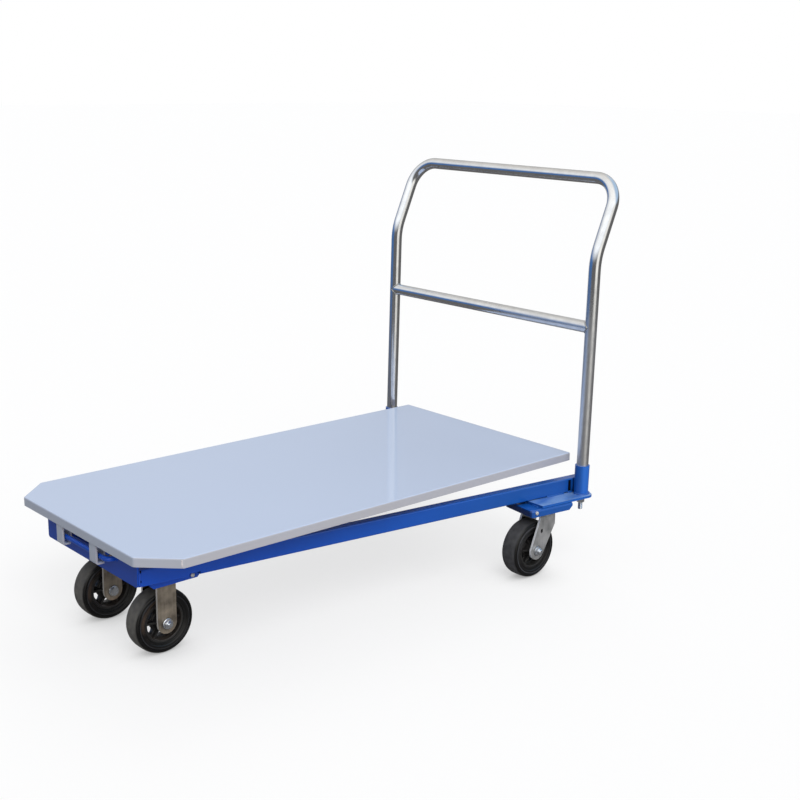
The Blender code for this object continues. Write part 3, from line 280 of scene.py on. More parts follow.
def plated(name, tint, dark, rough_low, rough_high, metallic=1.0):
    """Plated or bright metal with a fine grain and a faint cloudiness."""
    made = Shading(name)
    cloud = made.spread(made.noise(22, 3), 0.3, 0.7)
    grain = made.spread(made.noise(300, 3), 0.3, 0.7)
    mixed = made.math("MULTIPLY", made.math("ADD", cloud, grain), 0.5)
    colour = made.blend(mixed, shade(dark), shade(tint))
    rough = made.spread(mixed, 0.2, 0.8, rough_high, rough_low)
    made.bump(made.noise(600, 2), 0.05, 0.0003)
    return made.finish(colour, rough, metallic)


def fork_steel(name, dark, light, rusty, painted_edge_highlight):
    """Plated plate, cloudy and streaked, with a painted highlight on its cut front edge, painted
    shade in crevices, and rusty at its foot.
    """
    made = Shading(name)
    cloud = made.spread(made.noise(30, 5), 0.32, 0.68)
    streaks = made.spread(made.noise(150, 3, (1, 1, 0.06)), 0.3, 0.7)
    streaks = made.math("MULTIPLY", streaks, 0.25)
    mixed = made.math("ADD", made.math("MULTIPLY", cloud, 0.75), streaks)
    colour = made.blend(mixed, shade(dark), shade(light))
    height = made.add("ShaderNodeSeparateXYZ", {0: made.place}).outputs[2]
    rust = made.math(
        "MULTIPLY",
        made.spread(height, 0.060, 0.048, 0, rusty),
        made.spread(made.noise(75, 4), 0.50, 0.62),
    )
    colour = made.blend(rust, colour, shade((158, 112, 62)))
    # Painted highlight: faces turned ahead, along the plate's cut edge, are paler.
    edge = made.facing(-X_AXIS, 0.55, 0.80)
    colour = made.blend(edge, colour, shade(painted_edge_highlight))
    # Painted shade in crevices.
    colour = made.blend(made.painted_crevice_shade(0.011, 0.50, 0.86, 0), shade((10, 9, 9)), colour)
    plating = made.spread(edge, 0, 1, 0.62, 0.25)
    metallic = made.math("MULTIPLY", plating, made.spread(rust, 0, 1, 1, 0))
    made.bump(made.noise(260, 2), 0.05, 0.0003)
    return made.finish(colour, made.spread(mixed, 0.2, 0.8, 0.46, 0.32), metallic)


def tube_metal():
    """Bright drawn tube, duller low on the left post.

    Its streaks follow the tube, whose UV map holds lengths in metres.
    """
    made = Shading("handle_finish")
    along = made.add("ShaderNodeUVMap", uv_map="lengths").outputs[0]
    streaks = made.spread(made.noise(1.0, 3, (14, 900, 1), along), 0.3, 0.7)
    cloud = made.spread(made.noise(1.0, 3, (40, 55, 1), along), 0.3, 0.7)
    mixed = made.math("MULTIPLY", made.math("ADD", cloud, streaks), 0.5)
    colour = made.blend(mixed, shade((205, 207, 212)), shade((232, 234, 238)))
    axes = made.add("ShaderNodeSeparateXYZ", {0: made.place}).outputs
    worn = made.math("MULTIPLY", made.spread(axes[1], 0, -0.1), made.spread(axes[2], 0.78, 0.62))
    dull = made.math("MULTIPLY", worn, 0.24)
    rough = made.math("ADD", made.spread(mixed, 0.2, 0.8, 0.20, 0.11), dull)
    made.bump(streaks, 0.03, 0.0002)
    return made.finish(colour, rough, 1.0)


def rubber(node, dust, bead_brown_colour, ridge_share):
    """Black rubber, dusty on the tread, with a painted highlight on a raised ring of its side wall,
    and brown near the bead.

    Each is found by its distance from the axle, and the brown lies on the wheel's front half.
    """
    made = Shading(f"{node}_finish")
    flat, radius = made.from_axle(node)
    tread = made.spread(radius, 0.0722, 0.0742)
    patches = made.spread(made.noise(70, 4), 0.25, 0.65, 0.45, 1.0)
    dusty = made.math("MULTIPLY", tread, patches)
    side = made.spread(made.noise(45, 4), 0.35, 0.75)
    wall = made.blend(side, shade((11, 11, 12)), shade((21, 21, 22)))
    # Painted highlight: a pale raised ring on the side wall.
    off_ridge = made.math("ABSOLUTE", made.math("SUBTRACT", radius, 0.0628))
    ridge_highlight = made.math("MULTIPLY", made.spread(off_ridge, 0.0013, 0.0005, 0, ridge_share), patches)
    wall = made.blend(ridge_highlight, wall, shade((98, 100, 107)))
    # Brown near the bead, only on the wheel's front half.
    off_bead = made.math("ABSOLUTE", made.math("SUBTRACT", radius, 0.0560))
    bead_brown = made.spread(made.noise(24, 3), 0.46, 0.62, 0, 0.75)
    bead_brown = made.math("MULTIPLY", made.spread(off_bead, 0.0066, 0.0030), bead_brown)
    front_half = made.spread(made.along(flat, (-0.8, 0, 0.6)), 0.010, 0.045)
    bead_brown = made.math("MULTIPLY", bead_brown, front_half)
    wall = made.blend(bead_brown, wall, shade(bead_brown_colour))
    colour = made.blend(dusty, wall, shade(dust))
    rough = made.spread(dusty, 0, 1, 0.30, 0.85)
    made.bump(made.noise(900, 2), 0.10, 0.0004)
    return made.finish(colour, rough, specular=0.4)


def core_finish(node, dust):
    """Dark cast core, with settled dust on the inside of its rim."""
    made = Shading(f"{node}_finish")
    _, radius = made.from_axle(node)
    rim = made.math(
        "MULTIPLY",
        made.spread(radius, 0.0405, 0.0425),
        made.spread(radius, 0.0452, 0.0440),
    )
    patches = made.spread(made.noise(85, 4), 0.25, 0.6, 0.35, 1.0)
    dusty = made.math("MULTIPLY", rim, patches)
    cloud = made.spread(made.noise(60, 4), 0.3, 0.7)
    cast = made.blend(cloud, shade((20, 20, 21)), shade((38, 37, 37)))
    colour = made.blend(dusty, cast, shade(dust))
    made.bump(made.noise(380, 3), 0.25, 0.0005)
    return made.finish(colour, made.spread(patches, 0.35, 1, 0.30, 0.50), specular=0.6)


def finishes():
    return {
        "deck_paint": deck_paint(),
        "frame_paint": frame_paint(),
        # Copies of the frame paint: the foot plates' and sockets' are paler at the rear as painted
        # light, the foot plates' with a painted sheen, and the brackets' is darker facing ahead as
        # painted shade.
        "foot_paint": frame_paint("foot_paint_finish", (24, 100, 196), 0.9),
        "socket_paint": frame_paint("socket_paint_finish", (31, 111, 213)),
        "bracket_paint": frame_paint("bracket_paint_finish", shaded=0.92),
        "shadowed": shadowed(),
        "handle_chrome": tube_metal(),
        "bare_weld": bare_weld(),
        "zinc_fasteners": plated(
            "zinc_finish", (243, 248, 255), (205, 211, 221), 0.13, 0.24, 0.94
        ),
        "bright_steel": plated(
            "bright_steel_finish", (190, 190, 188), (140, 140, 140), 0.28, 0.42
        ),
        "bolt_zinc": plated(
            "bolt_zinc_finish", (244, 242, 236), (224, 221, 214), 0.24, 0.34, 0.45
        ),
        "front_fork": fork_steel(
            "front_fork_finish", (98, 91, 82), (204, 190, 171), 0.62, (214, 210, 204)
        ),
        "rear_fork": fork_steel(
            "rear_fork_finish", (144, 146, 147), (219, 219, 220), 0.35, (246, 248, 252)
        ),
    }


# Shapes

def skin(shape, rings, loop=False):
    """Faces between the rings of points, each closed on itself, and caps unless the rings loop."""
    rows = [[shape.verts.new(point) for point in ring] for ring in rings]
    count = len(rows[0])
    following = rows[1:] + rows[:1] if loop else rows[1:]
    for row, after in zip(rows, following):
        for each in range(count):
            other = (each + 1) % count
            shape.faces.new((row[each], row[other], after[other], after[each]))
    if not loop:
        shape.faces.new(rows[0][::-1])
        shape.faces.new(rows[-1])


def axes_at(point, along):
    """A matrix that stands a shape's Z axis along a direction, at a point."""
    turn = Z_AXIS.rotation_difference(Vector(along)).to_matrix().to_4x4()
    return Matrix.Translation(point) @ turn


def ring(matrix, radius, height, sides):
    turns = [math.tau * each / sides for each in range(sides)]
    return [matrix @ Vector((radius * math.cos(t), radius * math.sin(t), height)) for t in turns]


def lathe(shape, matrix, profile, sides=32):
    """An open (radius, height) profile turned round the matrix's Z axis, with flat caps."""
    skin(shape, [ring(matrix, radius, height, sides) for radius, height in profile])


def lathe_loop(shape, matrix, profile, sides):
    """A closed (radius, height) profile turned round the matrix's Z axis."""
    rings = []
    for each in range(sides):
        t = math.tau * each / sides
        rings.append([matrix @ Vector((r * math.cos(t), r * math.sin(t), h)) for r, h in profile])
    skin(shape, rings, loop=True)


def hexagon(shape, matrix, flats, height, both=False):
    """A hexagon head whose corners are chamfered on top, and on both ends of a nut."""
    sides = 48
    half = flats / 2
    face = half * 0.95
    rows = [[], [], [], []]
    for each in range(sides):
        t = math.tau * each / sides
        reach = half / math.cos((t + math.pi / 6) % (math.pi / 3) - math.pi / 6)
        drop = (reach - half) * math.tan(math.radians(30))
        low = drop if both else 0.0
        flat = Vector((math.cos(t), math.sin(t), 0))
        rows[0].append(matrix @ (flat * face))
        rows[1].append(matrix @ (flat * reach + Z_AXIS * low))
        rows[2].append(matrix @ (flat * reach + Z_AXIS * (height - drop)))
        rows[3].append(matrix @ (flat * face + Z_AXIS * height))
    skin(shape, rows)


def thread(shape, matrix, radius, low, high, pitch):
    """A threaded rod, with its helix as a ripple of the radius, and chamfered ends."""
    sides = 20
    steps = max(2, round((high - low) / pitch * 5))
    rings = []
    for step in range(steps + 1):
        height = low + (high - low) * step / steps
        row = []
        for each in range(sides):
            turn = each / sides
            wave = abs(((height / pitch - turn) % 1) * 2 - 1)
            end = min(1.0, (high - height) / pitch + 0.35, (height - low) / pitch + 0.35)
            reach = (radius - pitch * 0.45 * wave) * (0.80 + 0.20 * end)
            t = math.tau * turn
            row.append(matrix @ Vector((reach * math.cos(t), reach * math.sin(t), height)))
        rings.append(row)
    skin(shape, rings)


def evenly(path, step):
    """Points along a polyline, evenly spaced."""
    path = [Vector(point) for point in path]
    lengths = [(b - a).length for a, b in zip(path, path[1:])]
    total = sum(lengths)
    count = max(2, round(total / step))
    points = []
    for each in range(count + 1):
        left = total * each / count
        for start, end, length in zip(path, path[1:], lengths):
            if left <= length or end is path[-1]:
                points.append(start.lerp(end, min(1.0, left / length)))
                break
            left -= length
    return points


def rings_along(path, radii, sides):
    """Rings square to a path, each turned as little as possible from the one before."""
    across = None
    rings = []
    for index, point in enumerate(path):
        before = path[max(0, index - 1)]
        after = path[min(len(path) - 1, index + 1)]
        ahead = (after - before).normalized()
        if across is None:
            across = ahead.orthogonal().normalized()
        across = (across - ahead * across.dot(ahead)).normalized()
        other = ahead.cross(across)
        row = []
        for each in range(sides):
            t = math.tau * each / sides
            row.append(point + (across * math.cos(t) + other * math.sin(t)) * radii[index])
        rings.append(row)
    return rings


def bead(shape, path, radius, pitch=0.0034):
    """A weld bead: a round run with the ripples of its pools and rounded ends."""
    points = evenly(path, pitch / 5)
    step = (points[1] - points[0]).length
    total = step * (len(points) - 1)
    radii = []
    for each in range(len(points)):
        run = each * step
        edge = min(run, total - run, radius) / radius
        ripple = 1 + 0.10 * (1 - abs(((run / pitch) % 1) * 2 - 1))
        radii.append(radius * ripple * max(0.12, math.sqrt(1 - (1 - edge) ** 2)))
    skin(shape, rings_along(points, radii, 10))


def arc(centre, first, second, radius, start, end, count=24):
    """Points on an arc between two angles, in the plane of two directions."""
    turns = [math.radians(start + (end - start) * each / count) for each in range(count + 1)]
    return [centre + (first * math.cos(t) + second * math.sin(t)) * radius for t in turns]


def rounded(corners, radii, step=math.radians(3)):
    """Straight runs between the corners, each inner corner turned in an arc of its radius."""
    path = [Vector(corners[0])]
    for index in range(1, len(corners) - 1):
        corner = Vector(corners[index])
        back = (Vector(corners[index - 1]) - corner).normalized()
        ahead = (Vector(corners[index + 1]) - corner).normalized()
        turn = math.pi - back.angle(ahead)
        radius = radii[index]
        reach = radius * math.tan(turn / 2)
        centre = corner + (back + ahead).normalized() * radius / math.cos(turn / 2)
        first = corner + back * reach - centre
        last = corner + ahead * reach - centre
        count = max(1, round(turn / step))
        for each in range(count + 1):
            path.append(centre + first.slerp(last, each / count).normalized() * radius)
    path.append(Vector(corners[-1]))
    return path


def as_object(name, shape):
    """Makes an object of a bmesh, with its faces turned outward, and frees the bmesh."""
    bmesh.ops.recalc_face_normals(shape, faces=shape.faces)
    mesh = bpy.data.meshes.new(name)
    shape.to_mesh(mesh)
    shape.free()
    made = bpy.data.objects.new(name, mesh)
    bpy.context.scene.collection.objects.link(made)
    return made


def piece(name, shape, material, body, stands_for=(), smooth=True):
    """Makes a piece of a bmesh, smooth but for its sharp edges or flat, and puts it on a body."""
    made = as_object(name, shape)
    if smooth:
        made.data.shade_smooth()
        made.data.set_sharp_from_angle(angle=math.radians(38))
    else:
        made.data.shade_flat()
    made.data.materials.append(material)
    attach(made, body)
    if stands_for:
        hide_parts(*stands_for)


# Handle

def lean(x, y, z):
    """A place in the leaning frame of the handle's foot."""
    turned = Matrix.Rotation(HANDLE_LEAN, 3, "Y") @ Vector((x, y, z))
    return turned + Vector((SOCKET_X, 0, RAIL_BOTTOM))


def tube_piece(name, path, material, node):
    """A bent tube whose UV map holds the length along it and around it, in metres."""
    shape = bmesh.new()
    skin(shape, rings_along(path, [HANDLE_RADIUS] * len(path), TUBE_SIDES))
    runs = [0.0]
    for first, second in zip(path, path[1:]):
        runs.append(runs[-1] + (second - first).length)
    layer = shape.loops.layers.uv.new("lengths")
    shape.verts.index_update()
    girth = math.tau * HANDLE_RADIUS
    for face in shape.faces:
        around = [loop.vert.index % TUBE_SIDES for loop in face.loops]
        wraps = max(around) - min(around) > TUBE_SIDES / 2
        for loop, each in zip(face.loops, around):
            turn = each + TUBE_SIDES if wraps and each < TUBE_SIDES / 2 else each
            loop[layer].uv = (runs[loop.vert.index // TUBE_SIDES], girth * turn / TUBE_SIDES)
    piece(name, shape, material, "frame", [node])


def make_handle(looks):
    """The bent tube, its cross bar, and the bead along the saddle at each of the bar's ends."""
    chrome = looks["handle_chrome"]
    tilt = Vector((math.sin(HANDLE_BEND), 0, math.cos(HANDLE_BEND)))
    bend = Vector((0, -HANDLE_Y, POST_LENGTH))
    corner = bend + tilt * UPPER_LENGTH
    left = [Vector((0, -HANDLE_Y, 0.003)), bend, corner]
    right = [Vector((x, -y, z)) for x, y, z in reversed(left)]
    radii = [0, POST_BEND_RADIUS, HANDLE_CORNER_RADIUS, HANDLE_CORNER_RADIUS, POST_BEND_RADIUS, 0]
    path = [lean(*point) for point in rounded(left + right, radii)]
    tube_piece("handle_loop", path, chrome, "handle_tube")
    ends = [lean(0, sign * (HANDLE_Y - 0.006), CROSSBAR_HEIGHT) for _, sign in SIDES]
    tube_piece("handle_rung", evenly(ends, 0.05), chrome, "handle_crossbar")
    shape = bmesh.new()
    reach = HANDLE_RADIUS + WELD_GAP
    count = 48
    for _, sign in SIDES:
        saddle = []
        for each in range(count + 1):
            t = math.tau * each / count
            dip = HANDLE_RADIUS * abs(math.sin(t))
            y = sign * (HANDLE_Y - dip - 0.0006)
            saddle.append(lean(reach * math.cos(t), y, CROSSBAR_HEIGHT + reach * math.sin(t)))
        bead(shape, saddle, 0.0017, 0.0030)
    piece("crossbar_welds", shape, looks["bright_steel"], "frame")


# Welds

def rail_face(x, outward=0.0):
    """How far the rail's outer face lies from the middle plane at x, plus a distance outward."""
    return RAIL_FRONT_Y + (x - RAIL_START_X) * RAIL_SLOPE + outward / math.cos(RAIL_ANGLE)


def make_frame_welds(looks):
    """The beads at the sockets, rails, front plate, mount plates, hinge rod and cross bar."""
    plate_low, plate_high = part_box("front_cross_plate")
    bar_low, bar_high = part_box("frame_cross_bar")
    for side, sign in SIDES:
        shape = bmesh.new()
        foot = Vector((SOCKET_X, sign * HANDLE_Y, PLATE_TOP + WELD_GAP))
        across = Vector((0, sign, 0))
        bead(shape, arc(foot, X_AXIS, across, SOCKET_RADIUS + 0.0012, -62, 205), 0.0030)
        top = lean(0, sign * HANDLE_Y, RAIL_TOP - RAIL_BOTTOM + WELD_GAP)
        bead(shape, arc(top, X_AXIS, across, SOCKET_RADIUS + 0.0006, -128, -62, 12), 0.0022)
        for xs in ((0.4770, 0.5360), (0.5480, 0.5660)):
            for outward, radius in ((WELD_GAP, 0.0028), (-RAIL_WIDTH - WELD_GAP, 0.0026)):
                ends = [(x, sign * rail_face(x, outward), PLATE_TOP + 0.0006) for x in xs]
                bead(shape, ends, radius)
        corner = plate_high.x + 0.0002
        for inset in (0.0, RAIL_WIDTH + 0.0008):
            y = sign * (RAIL_FRONT_Y - inset)
            bead(shape, [(corner, y, RAIL_BOTTOM + 0.004), (corner, y, RAIL_TOP - 0.004)], 0.0027)
        low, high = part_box(f"front_mount_plate_{side}")
        for start in (0.008, 0.044):
            xs = (low.x + start, low.x + start + 0.024)
            inner = -RAIL_WIDTH - 0.0006
            bead(shape, [(x, sign * rail_face(x, inner), high.z + WELD_GAP) for x in xs], 0.0019)
            bead(shape, [(x, sign * rail_face(x, -0.0140), high.z - 0.0009) for x in xs], 0.0014)
        rod_end = Vector((plate_low.x - WELD_GAP, sign * HINGE_Y, HINGE_HEIGHT))
        around = arc(rod_end, Y_AXIS, Z_AXIS, HINGE_ROD_RADIUS + 0.0006, 0, 360, 32)
        bead(shape, around, 0.0019, 0.0028)
        for x in (bar_low.x - WELD_GAP, bar_high.x + WELD_GAP):
            outer = Vector((x, sign * (rail_face(x) - 0.005), RAIL_TOP + WELD_GAP))
            bead(shape, [outer, outer - Y_AXIS * sign * 0.019], 0.0026)
        piece(f"frame_welds_{side}", shape, looks["frame_paint"], "frame")


def rail_patch(name, sign, xs, outward, thick, material):
    """A strip along the rail's outer wall between two x places, as high as the rail's slot."""
    low, high = RAIL_SLOT_HEIGHTS
    rings = []
    for x in xs:
        outer, inner = rail_face(x, outward), rail_face(x, outward - thick)
        section = ((outer, low), (inner, low), (inner, high), (outer, high))
        rings.append([Vector((x, sign * y, z)) for y, z in section])
    shape = bmesh.new()
    skin(shape, rings)
    piece(name, shape, material, "frame")


def make_rail_slots(looks):
    """The narrow slot in each rail beside its socket, with a near-black sheet behind it as painted
    shade, and the open ends of its front seam, drawn as dark beads of painted shade.
    """
    paint, dark = looks["frame_paint"], looks["shadowed"]
    strip, hole = (RAIL_SLOT_REAR, RAIL_SLOT_STRIP_REAR), (RAIL_SLOT_FRONT, RAIL_SLOT_REAR)
    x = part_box("front_cross_plate")[1].x + 0.0040
    for side, sign in SIDES:
        rail_patch(f"rail_slot_strip_{side}", sign, strip, 0.0, RAIL_WALL, paint)
        # Painted shade: a near-black sheet just inside the rail's wall, behind the slot.
        rail_patch(f"rail_slot_shade_sheet_{side}", sign, hole, -RAIL_WALL - 0.0002, 0.0004, dark)
        shape = bmesh.new()
        # Painted shade: short dark beads at the open ends of the seam.
        for low in SEAM_END_HEIGHTS:
            high = low + SEAM_END_LENGTH
            bead(shape, [(x, sign * rail_face(x, -0.0010), z) for z in (low, high)], 0.0018)
        piece(f"seam_end_shade_{side}", shape, dark, "frame")


def make_bracket_welds(looks):
    """Short runs that tie each caster bracket to the plate above it."""
    for side, _ in SIDES:
        shape = bmesh.new()
        low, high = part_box(f"front_mount_plate_{side}")
        web = low.z - 0.0002
        middle = (low.y + high.y) / 2
        for x in (low.x - 0.0002, high.x + 0.0002):
            for start in (-0.040, 0.012):
                ends = [(x, middle + start, web), (x, middle + start + 0.026, web)]
                bead(shape, ends, 0.0022)
        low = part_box(f"rear_foot_plate_{side}")[0]
        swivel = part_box(f"rear_ball_ring_{side}")
        middle = (swivel[0].y + swivel[1].y) / 2
        x, web = low.x - 0.0002, low.z - 0.0002
        for start in (-0.032, 0.010):
            bead(shape, [(x, middle + start, web), (x, middle + start + 0.022, web)], 0.0022)
        piece(f"bracket_welds_{side}", shape, looks["frame_paint"], "frame")


def make_deck_welds(looks):
    """The seam of each clipped corner, and the beads at the hooks and under the deck."""
    low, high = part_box("deck_pan")
    for side, sign in SIDES:
        clip = Vector((DECK_CLIP, sign * DECK_CLIP_WIDTH, 0)).normalized()
        inward = Vector((clip.y, -clip.x, 0)) * sign
        foot = Vector((low.x + DECK_CLIP, sign * high.y, 0)) - clip * 0.0042 + inward * 0.0012
        seam = [foot + Z_AXIS * z for z in (low.z + 0.0020, high.z - 0.0026)]
        shape = bmesh.new()
        bead(shape, seam, 0.0023, 0.0042)
        piece(f"clip_seam_{side}", shape, looks["bare_weld"], "deck")
        shape = bmesh.new()
        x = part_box(f"hinge_hook_{side}")[0].x + 0.0006
        for edge, toward in zip(HOOK_EDGES[side], (1, -1)):
            ends = [(x, edge + toward * step, low.z - WELD_GAP) for step in (0.0020, 0.0100)]
            bead(shape, ends, 0.0024)
        rib_low, rib_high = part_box(f"deck_stiffener_{side}")
        for edge in (rib_low.y - WELD_GAP, rib_high.y + WELD_GAP):
            for step in range(9):
                start = rib_low.x + 0.030 + step * 0.142
                ends = [(start, edge, rib_high.z), (start + 0.028, edge, rib_high.z)]
                bead(shape, ends, 0.0022)
        piece(f"deck_welds_{side}", shape, looks["deck_paint"], "deck")


def make_hooks(looks):
    """Bent straps: a long leg before the rod, a foot under it and a short leg close behind it.

    They are narrower and reach a little lower than the solids.
    """
    half = HOOK_METAL / 2
    edge = half / 4
    rear = HINGE_X + HINGE_ROD_RADIUS + HOOK_GAP + half
    for side, (start, end) in HOOK_EDGES.items():
        node = f"hinge_hook_{side}"
        low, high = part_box(node)
        front, top, foot = low.x + half, high.z - half, low.z + half - HOOK_DROP
        corners = [
            (rear, 0, HINGE_HEIGHT - HOOK_REAR_LEG_DROP),
            (rear, 0, top),
            (front, 0, top),
            (front, 0, foot),
            (HOOK_FOOT_END, 0, foot),
        ]
        path = rounded(corners, [0, HOOK_BEND, HOOK_BEND, HOOK_BEND, 0], math.radians(10))
        section = (
            (start, edge - half), (start, half - edge), (start + edge, half), (end - edge, half),
            (end, half - edge), (end, edge - half), (end - edge, -half), (start + edge, -half),
        )
        rings = []
        for index, point in enumerate(path):
            ahead = (path[min(index + 1, len(path) - 1)] - path[max(index - 1, 0)]).normalized()
            out = ahead.cross(Y_AXIS)
            rings.append([Vector((point.x, y, point.z)) + out * lift for y, lift in section])
        shape = bmesh.new()
        skin(shape, rings)
        piece(f"hook_detail_{side}", shape, looks["deck_paint"], "deck", [node])


# Fasteners

def make_axle_fasteners(looks):
    """Each axle bolt with its head, shank, thread and washer, and its locking nut and washer."""
    zinc = looks["zinc_fasteners"]
    washer = [(0.0120, 0), (0.0124, 0.0003), (0.0124, 0.0013), (0.0120, 0.0016)]
    collar = [(0.0064, 0), (0.0084, 0), (0.0084, 0.0014), (0.0076, 0.0023), (0.0064, 0.0024)]
    for end in ENDS:
        for side, sign in SIDES:
            body = "frame" if end == "front" else f"rear_swivel_{side}"
            bolt, nut = f"{end}_axle_bolt_{side}", f"{end}_axle_nut_{side}"
            low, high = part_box(f"{end}_tyre_{side}")
            middle = (low + high) / 2
            head_end, tip = sorted(abs(corner.y - middle.y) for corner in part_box(bolt))
            seat, nut_end = sorted(abs(corner.y - middle.y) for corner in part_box(nut))
            outward = Y_AXIS * sign
            axis = axes_at(middle, outward)
            shape = bmesh.new()
            shank = [(0.0062, -seat - 0.002), (0.00635, -seat), (0.00635, seat)]
            lathe(shape, axis, shank, 24)
            thread(shape, axis, THREAD_RADIUS, seat, tip, 0.0016)
            lathe(shape, axes_at(middle - outward * seat, -outward), washer, 40)
            head = axes_at(middle - outward * (seat + WASHER_SEAT), -outward)
            hexagon(shape, head, AXLE_HEX, head_end - seat - WASHER_SEAT)
            piece(f"{end}_axle_bolt_detail_{side}", shape, zinc, body, [bolt])
            shape = bmesh.new()
            lathe(shape, axes_at(middle + outward * seat, outward), washer, 40)
            foot = axes_at(middle + outward * (seat + WASHER_SEAT), outward)
            hexagon(shape, foot, AXLE_HEX, nut_end - seat - 0.0034, both=True)
            lathe_loop(shape, axes_at(middle + outward * (nut_end - 0.0024), outward), collar, 32)
            piece(f"{end}_axle_nut_detail_{side}", shape, zinc, body, [nut])


def make_bracket_bolts(looks):
    """The small domed screws through the brackets' outer flanges."""
    dome = [(0.0040, 0.0026), (0.0037, 0.0032), (0.0028, 0.0037), (0.0012, 0.0039)]
    for end in ENDS:
        for side, sign in SIDES:
            node = f"{end}_bracket_bolt_{side}"
            low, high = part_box(node)
            middle = (low + high) / 2
            outward = Y_AXIS * sign
            if end == "rear":
                outward = Matrix.Rotation(sign * RAIL_ANGLE, 3, "Z") @ outward
            head = middle + outward * 0.0100
            shape = bmesh.new()
            hexagon(shape, axes_at(head, outward), 0.0088, 0.0029)
            lathe(shape, axes_at(head, outward), dome, 24)
            thread(shape, axes_at(head + outward * 0.0005, -outward), 0.0030, 0, 0.0243, 0.0011)
            name = f"{end}_bracket_screw_{side}"
            piece(name, shape, looks["bolt_zinc"], "frame", [node])


def make_handle_studs(looks):
    """The threaded studs below the sockets, with their flanged nuts."""
    zinc = looks["zinc_fasteners"]
    washer = [(0.0126, 0), (0.0130, 0.0004), (0.0130, 0.0012), (0.0105, 0.0026)]
    for side, sign in SIDES:
        stud, nut = f"handle_stud_{side}", f"handle_nut_{side}"
        low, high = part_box(stud)
        nut_low, nut_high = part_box(nut)
        foot = Vector((SOCKET_X, sign * HANDLE_Y, 0))
        shape = bmesh.new()
        lathe(shape, axes_at(foot, Z_AXIS), [(0.0125, high.z), (0.0125, high.z - 0.0119)])
        thread(shape, axes_at(foot, Z_AXIS), THREAD_RADIUS, low.z, high.z - 0.0100, 0.0019)
        piece(f"handle_stud_detail_{side}", shape, zinc, "frame", [stud])
        shape = bmesh.new()
        lathe(shape, axes_at(foot + Z_AXIS * nut_high.z, -Z_AXIS), washer, 40)
        head = axes_at(foot + Z_AXIS * (nut_high.z - WASHER_SEAT), -Z_AXIS)
        hexagon(shape, head, STUD_HEX, nut_high.z - nut_low.z - WASHER_SEAT)
        piece(f"handle_nut_detail_{side}", shape, zinc, "frame", [nut])


# Forks

def slot_cutter(low, high):
    """A round-ended prism in the place of the shown slots, across both legs of a fork."""
    centre_x, centre_z = FORK_SLOT_SHOWN
    radius = FORK_SLOT_WIDTH / 2
    straight = FORK_SLOT_LENGTH / 2 - radius
    sides = 24
    outline = []
    for each in range(sides):
        t = math.tau * (each + 0.5) / sides
        lift = straight if math.sin(t) > 0 else -straight
        outline.append((centre_x + radius * math.cos(t), centre_z + radius * math.sin(t) + lift))
    shape = bmesh.new()
    skin(shape, [[Vector((x, y, z)) for x, z in outline] for y in (low, high)])
    return as_object("slot_cutter", shape)


def make_rear_forks(looks):
    """The rear forks, whose legs' slots are larger and farther forward than in the solids."""
    was_x, was_z = FORK_SLOT_SOLID
    reach_x, reach_z = FORK_SLOT_SOLID_REACH
    for side, _ in SIDES:
        name = f"rear_fork_{side}"
        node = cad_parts[name]
        low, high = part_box(name)
        shape = bmesh.new()
        shape.from_mesh(node.data)
        shape.transform(node.matrix_world)
        bmesh.ops.remove_doubles(shape, verts=shape.verts, dist=1e-6)
        old = {
            vert for vert in shape.verts
            if abs(vert.co.x - was_x) < reach_x and abs(vert.co.z - was_z) < reach_z
        }
        walls = [face for face in shape.faces if all(vert in old for vert in face.verts)]
        bmesh.ops.delete(shape, geom=walls, context="FACES")
        bmesh.ops.holes_fill(shape, edges=shape.edges, sides=4)
        plain = as_object("plain_fork", shape)
        cutter = slot_cutter(low.y - 0.005, high.y + 0.005)
        cut = plain.modifiers.new("slot", "BOOLEAN")
        cut.operation = "DIFFERENCE"
        cut.object = cutter
        graph = bpy.context.evaluated_depsgraph_get()
        mesh = bpy.data.meshes.new_from_object(plain.evaluated_get(graph))
        shape = bmesh.new()
        shape.from_mesh(mesh)
        bpy.data.meshes.remove(mesh)
        for done in (plain, cutter):
            bpy.data.meshes.remove(done.data)
        body, look = f"rear_swivel_{side}", looks["rear_fork"]
        piece(f"{name}_detail", shape, look, body, [name], smooth=False)


# Wheels

def mirrored_profile(half):
    """A closed (radius, height) profile from its upper half."""
    return half + [(radius, -height) for radius, height in reversed(half)]


def tyre_section():
    """The tyre's profile: rounded shoulders, two sunk rings and the bead."""
    shoulder = (
        (0, 0.0006), (0.0001, 0.0080), (0.0004, 0.0135), (0.0010, 0.0175),
        (0.0020, 0.0205), (0.0034, 0.0227), (0.0052, 0.0239), (0.0074, 0.02425),
    )
    wall = [
        (0.0668, 0.02400), (0.0660, 0.02290), (0.0646, 0.02270), (0.0634, 0.02400),
        (0.0618, 0.02425), (0.0606, 0.02360), (0.0578, 0.02395), (0.0570, 0.02350),
        (0.0560, 0.02240), (0.0550, 0.02205), (0.0512, 0.02200), (0.0504, 0.02150),
        (0.0503, 0.01900),
    ]
    half = [(WHEEL_RADIUS - drop, height) for drop, height in shoulder] + wall
    return [(WHEEL_RADIUS, 0)] + mirrored_profile(half)


